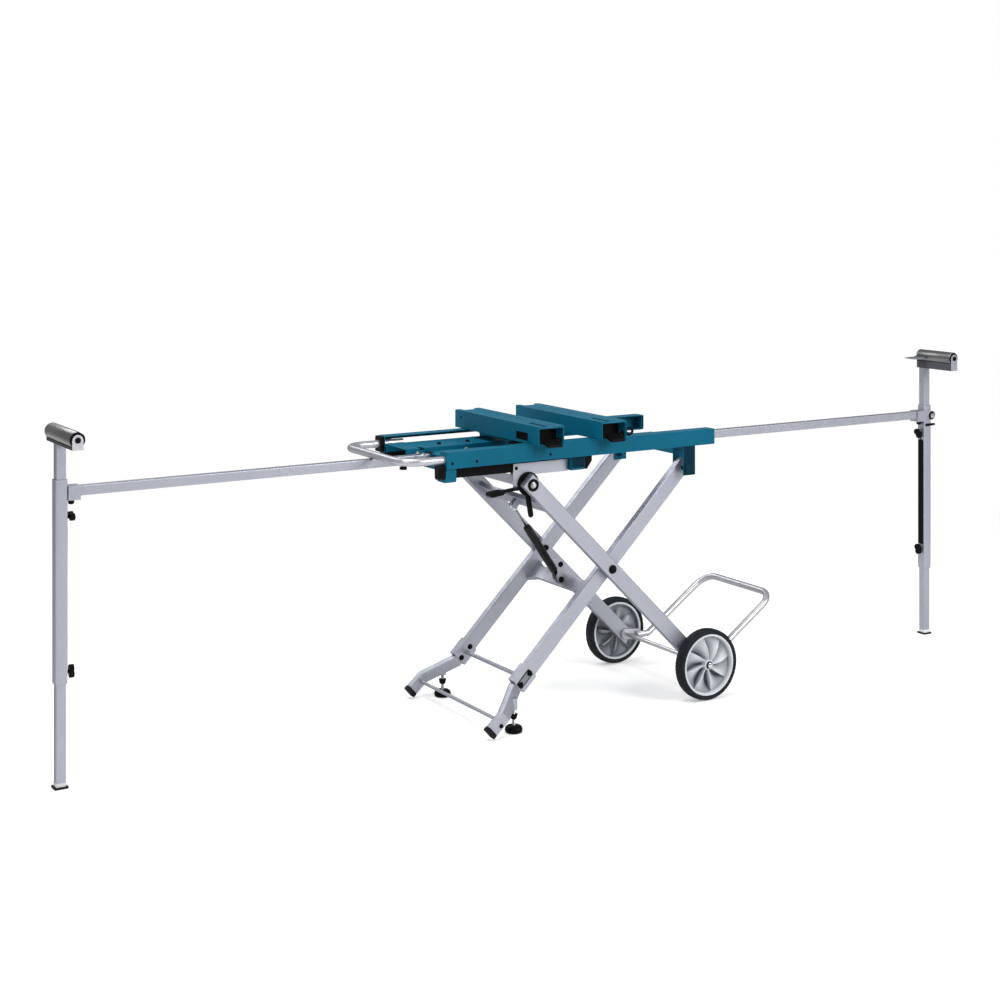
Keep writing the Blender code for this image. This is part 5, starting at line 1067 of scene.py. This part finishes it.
# Dark teal sheets over the hinge brackets: painted shade on the recessed brackets
for word, side in SIDES:
    panel(word + "_hinge_shade_sheet", SHADE_SHEET_WIDTH, 0.0760, 0.3220, 0.6206, on_y, *span(side, 0.1777, 0.1783),
          TEAL_PAINTED_SHADE, "table")

# Black blocks inside the saw arms as painted shade in their hollow insides, and the clamp ring of the right
# arm
CLAMP_RING_X = 0.1195
CLAMP_RING_Y = -0.190
CLAMP_RING_Z = 0.7130
CLAMP_RING_WIDTH = 0.0105
CLAMP_RING_HEIGHT = 0.0085
for word in ("left", "right"):
    arm = word + "_saw_arm"
    x = middle_of(arm).x - TABLE_X
    panel(word + "_arm_shade_block", 0.0675, 0.0350, x, 0.7195, on_y, -0.1740, 0.1960, BLACK, arm, 0.002, 0.0008)
turns = [math.pi * (1.0 + 2.0 * k / 40) for k in range(41)]
ring_path = [at(CLAMP_RING_X + CLAMP_RING_WIDTH * math.cos(turn), CLAMP_RING_Y,
                CLAMP_RING_Z + CLAMP_RING_HEIGHT * math.sin(turn)) for turn in turns]
clamp_ring = tube("clamp_ring", ring_path, 0.0032, BLACK, 16)
stub_loop = ring(0.0048, 20, CLAMP_RING_Y, CLAMP_RING_Z)
ring_stub = extruded("ring_stub", stub_loop, on_x, 0.0985, 0.1105, BLACK, 0.0004)
carried(joined("right_clamp_ring", [clamp_ring, ring_stub]), "right_saw_arm")

# Supports: black strip in the inner face, bar plug, foot flange with its pale insert, end plates of the head
POLE_HALF = 0.0140
STRIP_SUNK = 0.0003
STRIP_PROUD = 0.0005
BAR_PLUG_Z = 0.6374
BAR_PLUG = [(0.0, 0.0), (0.0062, 0.0), (0.0070, 0.0008), (0.0068, 0.0085), (0.0052, 0.0108), (0.0, 0.0112)]
FLANGE_WIDTH = 0.0325
FLANGE_TOP = 0.0040
INSERT_WIDTH = 0.0234
INSERT_TOP = 0.0125
HEAD_PLATE_HALF = 0.0124
HEAD_PLATE_ARC = 0.0119
HEAD_PLATE_STEPS = 24
for word, toward, plug_x, plate_paint in (("left", 1.0, 0.0254, END_PLATE), ("right", -1.0, 0.0225, SILVER)):
    bar = word + "_bar"
    post = word + "_lower_post"
    pole = middle_of(word + "_pole")
    x = pole.x - TABLE_X
    face = x + toward * POLE_HALF
    near, far = sorted((face - toward * STRIP_SUNK, face + toward * STRIP_PROUD))
    panel(word + "_pole_strip", 0.0206, 0.3120, pole.y, 0.4250, on_x, near, far, BLACK, bar, 0.0050, 0.0002)
    plug_place = at(x + toward * plug_x, pole.y, BAR_PLUG_Z)
    turned(word + "_bar_plug", BAR_PLUG, plug_place, (0.0, 0.0, -1.0), 32, BLACK, bar)
    flange = squircle(FLANGE_WIDTH, FLANGE_WIDTH, 0.0040, x, pole.y)
    shape(word + "_foot_flange", flange, on_z, 0.0, FLANGE_TOP, RUBBER, 0.0010, post, word + "_foot_pad")
    panel(word + "_foot_insert", INSERT_WIDTH, INSERT_WIDTH, x, pole.y, on_z, FLANGE_TOP, INSERT_TOP,
          PALE_PLASTIC, post, 0.0022)
    axis_z = middle_of(word + "_roller").z
    low, high = box_of(word + "_roller_channel")
    base = low.z + 0.0004
    arch = [(x + HEAD_PLATE_HALF, base), (x + HEAD_PLATE_HALF, axis_z)]
    for k in range(1, HEAD_PLATE_STEPS):
        bend = math.pi * k / HEAD_PLATE_STEPS
        arch.append((x + HEAD_PLATE_ARC * math.cos(bend), axis_z + HEAD_PLATE_ARC * math.sin(bend)))
    arch += [(x - HEAD_PLATE_HALF, axis_z), (x - HEAD_PLATE_HALF, base)]
    for label, end, way in (("_front", low.y, -1.0), ("_rear", high.y, 1.0)):
        inside, outside = sorted((end - way * 0.0004, end + way * 0.0006))
        shape(word + label + "_head_plate", arch, on_y, inside, outside, plate_paint, 0.0002, word + "_head")
latch = capsule(1.3260, 0.6255, 1.3545, 0.6265, 0.0034)
shape("right_latch_lever", latch, on_y, -0.0330, -0.0288, BLACK, 0.0006, "right_bar")

# Bolts: carriage beam, bar housing, spine and toe brackets
headed("carriage_beam_bolts", "carriage", sideways(-0.1945, 0.1529, 0.6400), BLACK, 0.0046, BLACK, 0.0036,
       0.0024)
housing_marks = [(at(x, y, 0.6699), UP) for x in (-0.380, -0.240) for y in (-BAR_Y, BAR_Y)]
headed("housing_bolts", "table", housing_marks, ZINC, 0.0058, ZINC, 0.0042, 0.0034)
spine_marks = [(at(x, 0.0660, 0.6799), UP) for x in (-0.290, -0.206)]
headed("spine_bolts", "table", spine_marks, BLACK, 0.0062, BLACK, 0.0048, 0.0036)
headed("toe_bolts", "inner_frame", sideways(-0.2740, 0.2126, 0.0330), BLACK, 0.0052, BLACK, 0.0042, 0.0026)

# Studio: pale floor and world, soft lamps and the camera
FLOOR_REACH = 30.0
FLOOR_Z = -0.0004
FLOOR_PAINT = (0.90, 0.90, 0.90, 1.0)
FLOOR_GLOW = 0.30
BACKDROP_START = 1.9
BACKDROP_END = 3.4
WORLD_LIGHT = 0.31


def studio_floor():
    """A floor that is lit near the stand and turns into plain white backdrop away from it."""
    mesh = bpy.data.meshes.new("studio_floor")
    corners = [(u * FLOOR_REACH, v * FLOOR_REACH, FLOOR_Z) for u, v in ((-1, -1), (1, -1), (1, 1), (-1, 1))]
    mesh.from_pydata(corners, [], [(0, 1, 2, 3)])
    floor = bpy.data.objects.new("studio_floor", mesh)
    bpy.context.scene.collection.objects.link(floor)
    paint = bpy.data.materials.new("studio_white")
    paint.use_nodes = True
    paint.node_tree.nodes.clear()
    wiring = Wiring(paint.node_tree)
    to_camera = wiring.node("ShaderNodeLightPath").outputs["Is Camera Ray"]
    diffuse = wiring.add("ShaderNodeBsdfDiffuse", Color=FLOOR_PAINT)
    glow = wiring.glow(wiring.maths("MULTIPLY", to_camera, FLOOR_GLOW))
    lit = wiring.add("ShaderNodeAddShader", i0=diffuse, i1=glow)
    spot = wiring.node("ShaderNodeNewGeometry").outputs["Position"]
    distance = wiring.node("ShaderNodeVectorMath", {"operation": "LENGTH"}, i0=spot).outputs["Value"]
    fade = wiring.add("ShaderNodeMapRange", {"interpolation_type": "SMOOTHSTEP"}, Value=distance,
                      From_Min=BACKDROP_START, From_Max=BACKDROP_END)
    ground = wiring.add("ShaderNodeMixShader", Fac=wiring.maths("MULTIPLY", fade, to_camera), i1=lit,
                        i2=wiring.glow(1.0))
    wiring.node("ShaderNodeOutputMaterial", Surface=ground)
    mesh.materials.append(paint)
    floor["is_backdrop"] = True


def studio_world():
    """White to the camera, and a weaker light to the stand."""
    world = bpy.data.worlds.new("studio")
    bpy.context.scene.world = world
    world.use_nodes = True
    wiring = Wiring(world.node_tree)
    path = wiring.node("ShaderNodeLightPath")
    seen = wiring.maths("MAXIMUM", path.outputs["Is Camera Ray"], path.outputs["Is Transmission Ray"])
    wiring.feed(world.node_tree.nodes["Background"], Color=WHITE,
                Strength=wiring.spread(seen, 0.0, 1.0, WORLD_LIGHT, 1.0))


def lamp(name, place, aim_height, size, power):
    """A round soft lamp aimed at a height over the stand's middle."""
    light = bpy.data.lights.new(name, "AREA")
    light.shape = "DISK"
    light.size = size
    light.energy = power
    item = bpy.data.objects.new(name, light)
    item.location = place
    aim = Vector((0.0, 0.0, aim_height))
    item.rotation_euler = (aim - Vector(place)).to_track_quat("-Z", "Y").to_euler()
    bpy.context.scene.collection.objects.link(item)


studio_floor()
studio_world()
lamp("key_lamp", (2.2, -4.2, 2.9), 0.5, 2.4, 178.0)
lamp("side_lamp", (-3.8, -1.6, 2.4), 0.5, 1.8, 30.0)
lamp("top_lamp", (-1.2, -0.3, 4.1), 0.4, 2.4, 110.0)
lamp("back_lamp", (-0.9, 3.5, 3.4), 0.4, 2.0, 46.0)

# The camera is level, with its lens shifted instead of tilted
CAMERA_PLACE = (-2.434, -3.746, 1.3195)
CAMERA_TURN = -31.39
lens = bpy.data.cameras.new("photo_camera")
lens.sensor_width = 36.0
lens.lens = 61.84
lens.shift_y = -0.3074
lens.clip_end = 100.0
camera = bpy.data.objects.new("photo_camera", lens)
camera.location = at(*CAMERA_PLACE)
camera.rotation_euler = (math.radians(90.0), 0.0, math.radians(CAMERA_TURN))
bpy.context.scene.collection.objects.link(camera)
bpy.context.scene.camera = camera
bpy.context.scene.view_settings.view_transform = "Standard"

low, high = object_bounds()
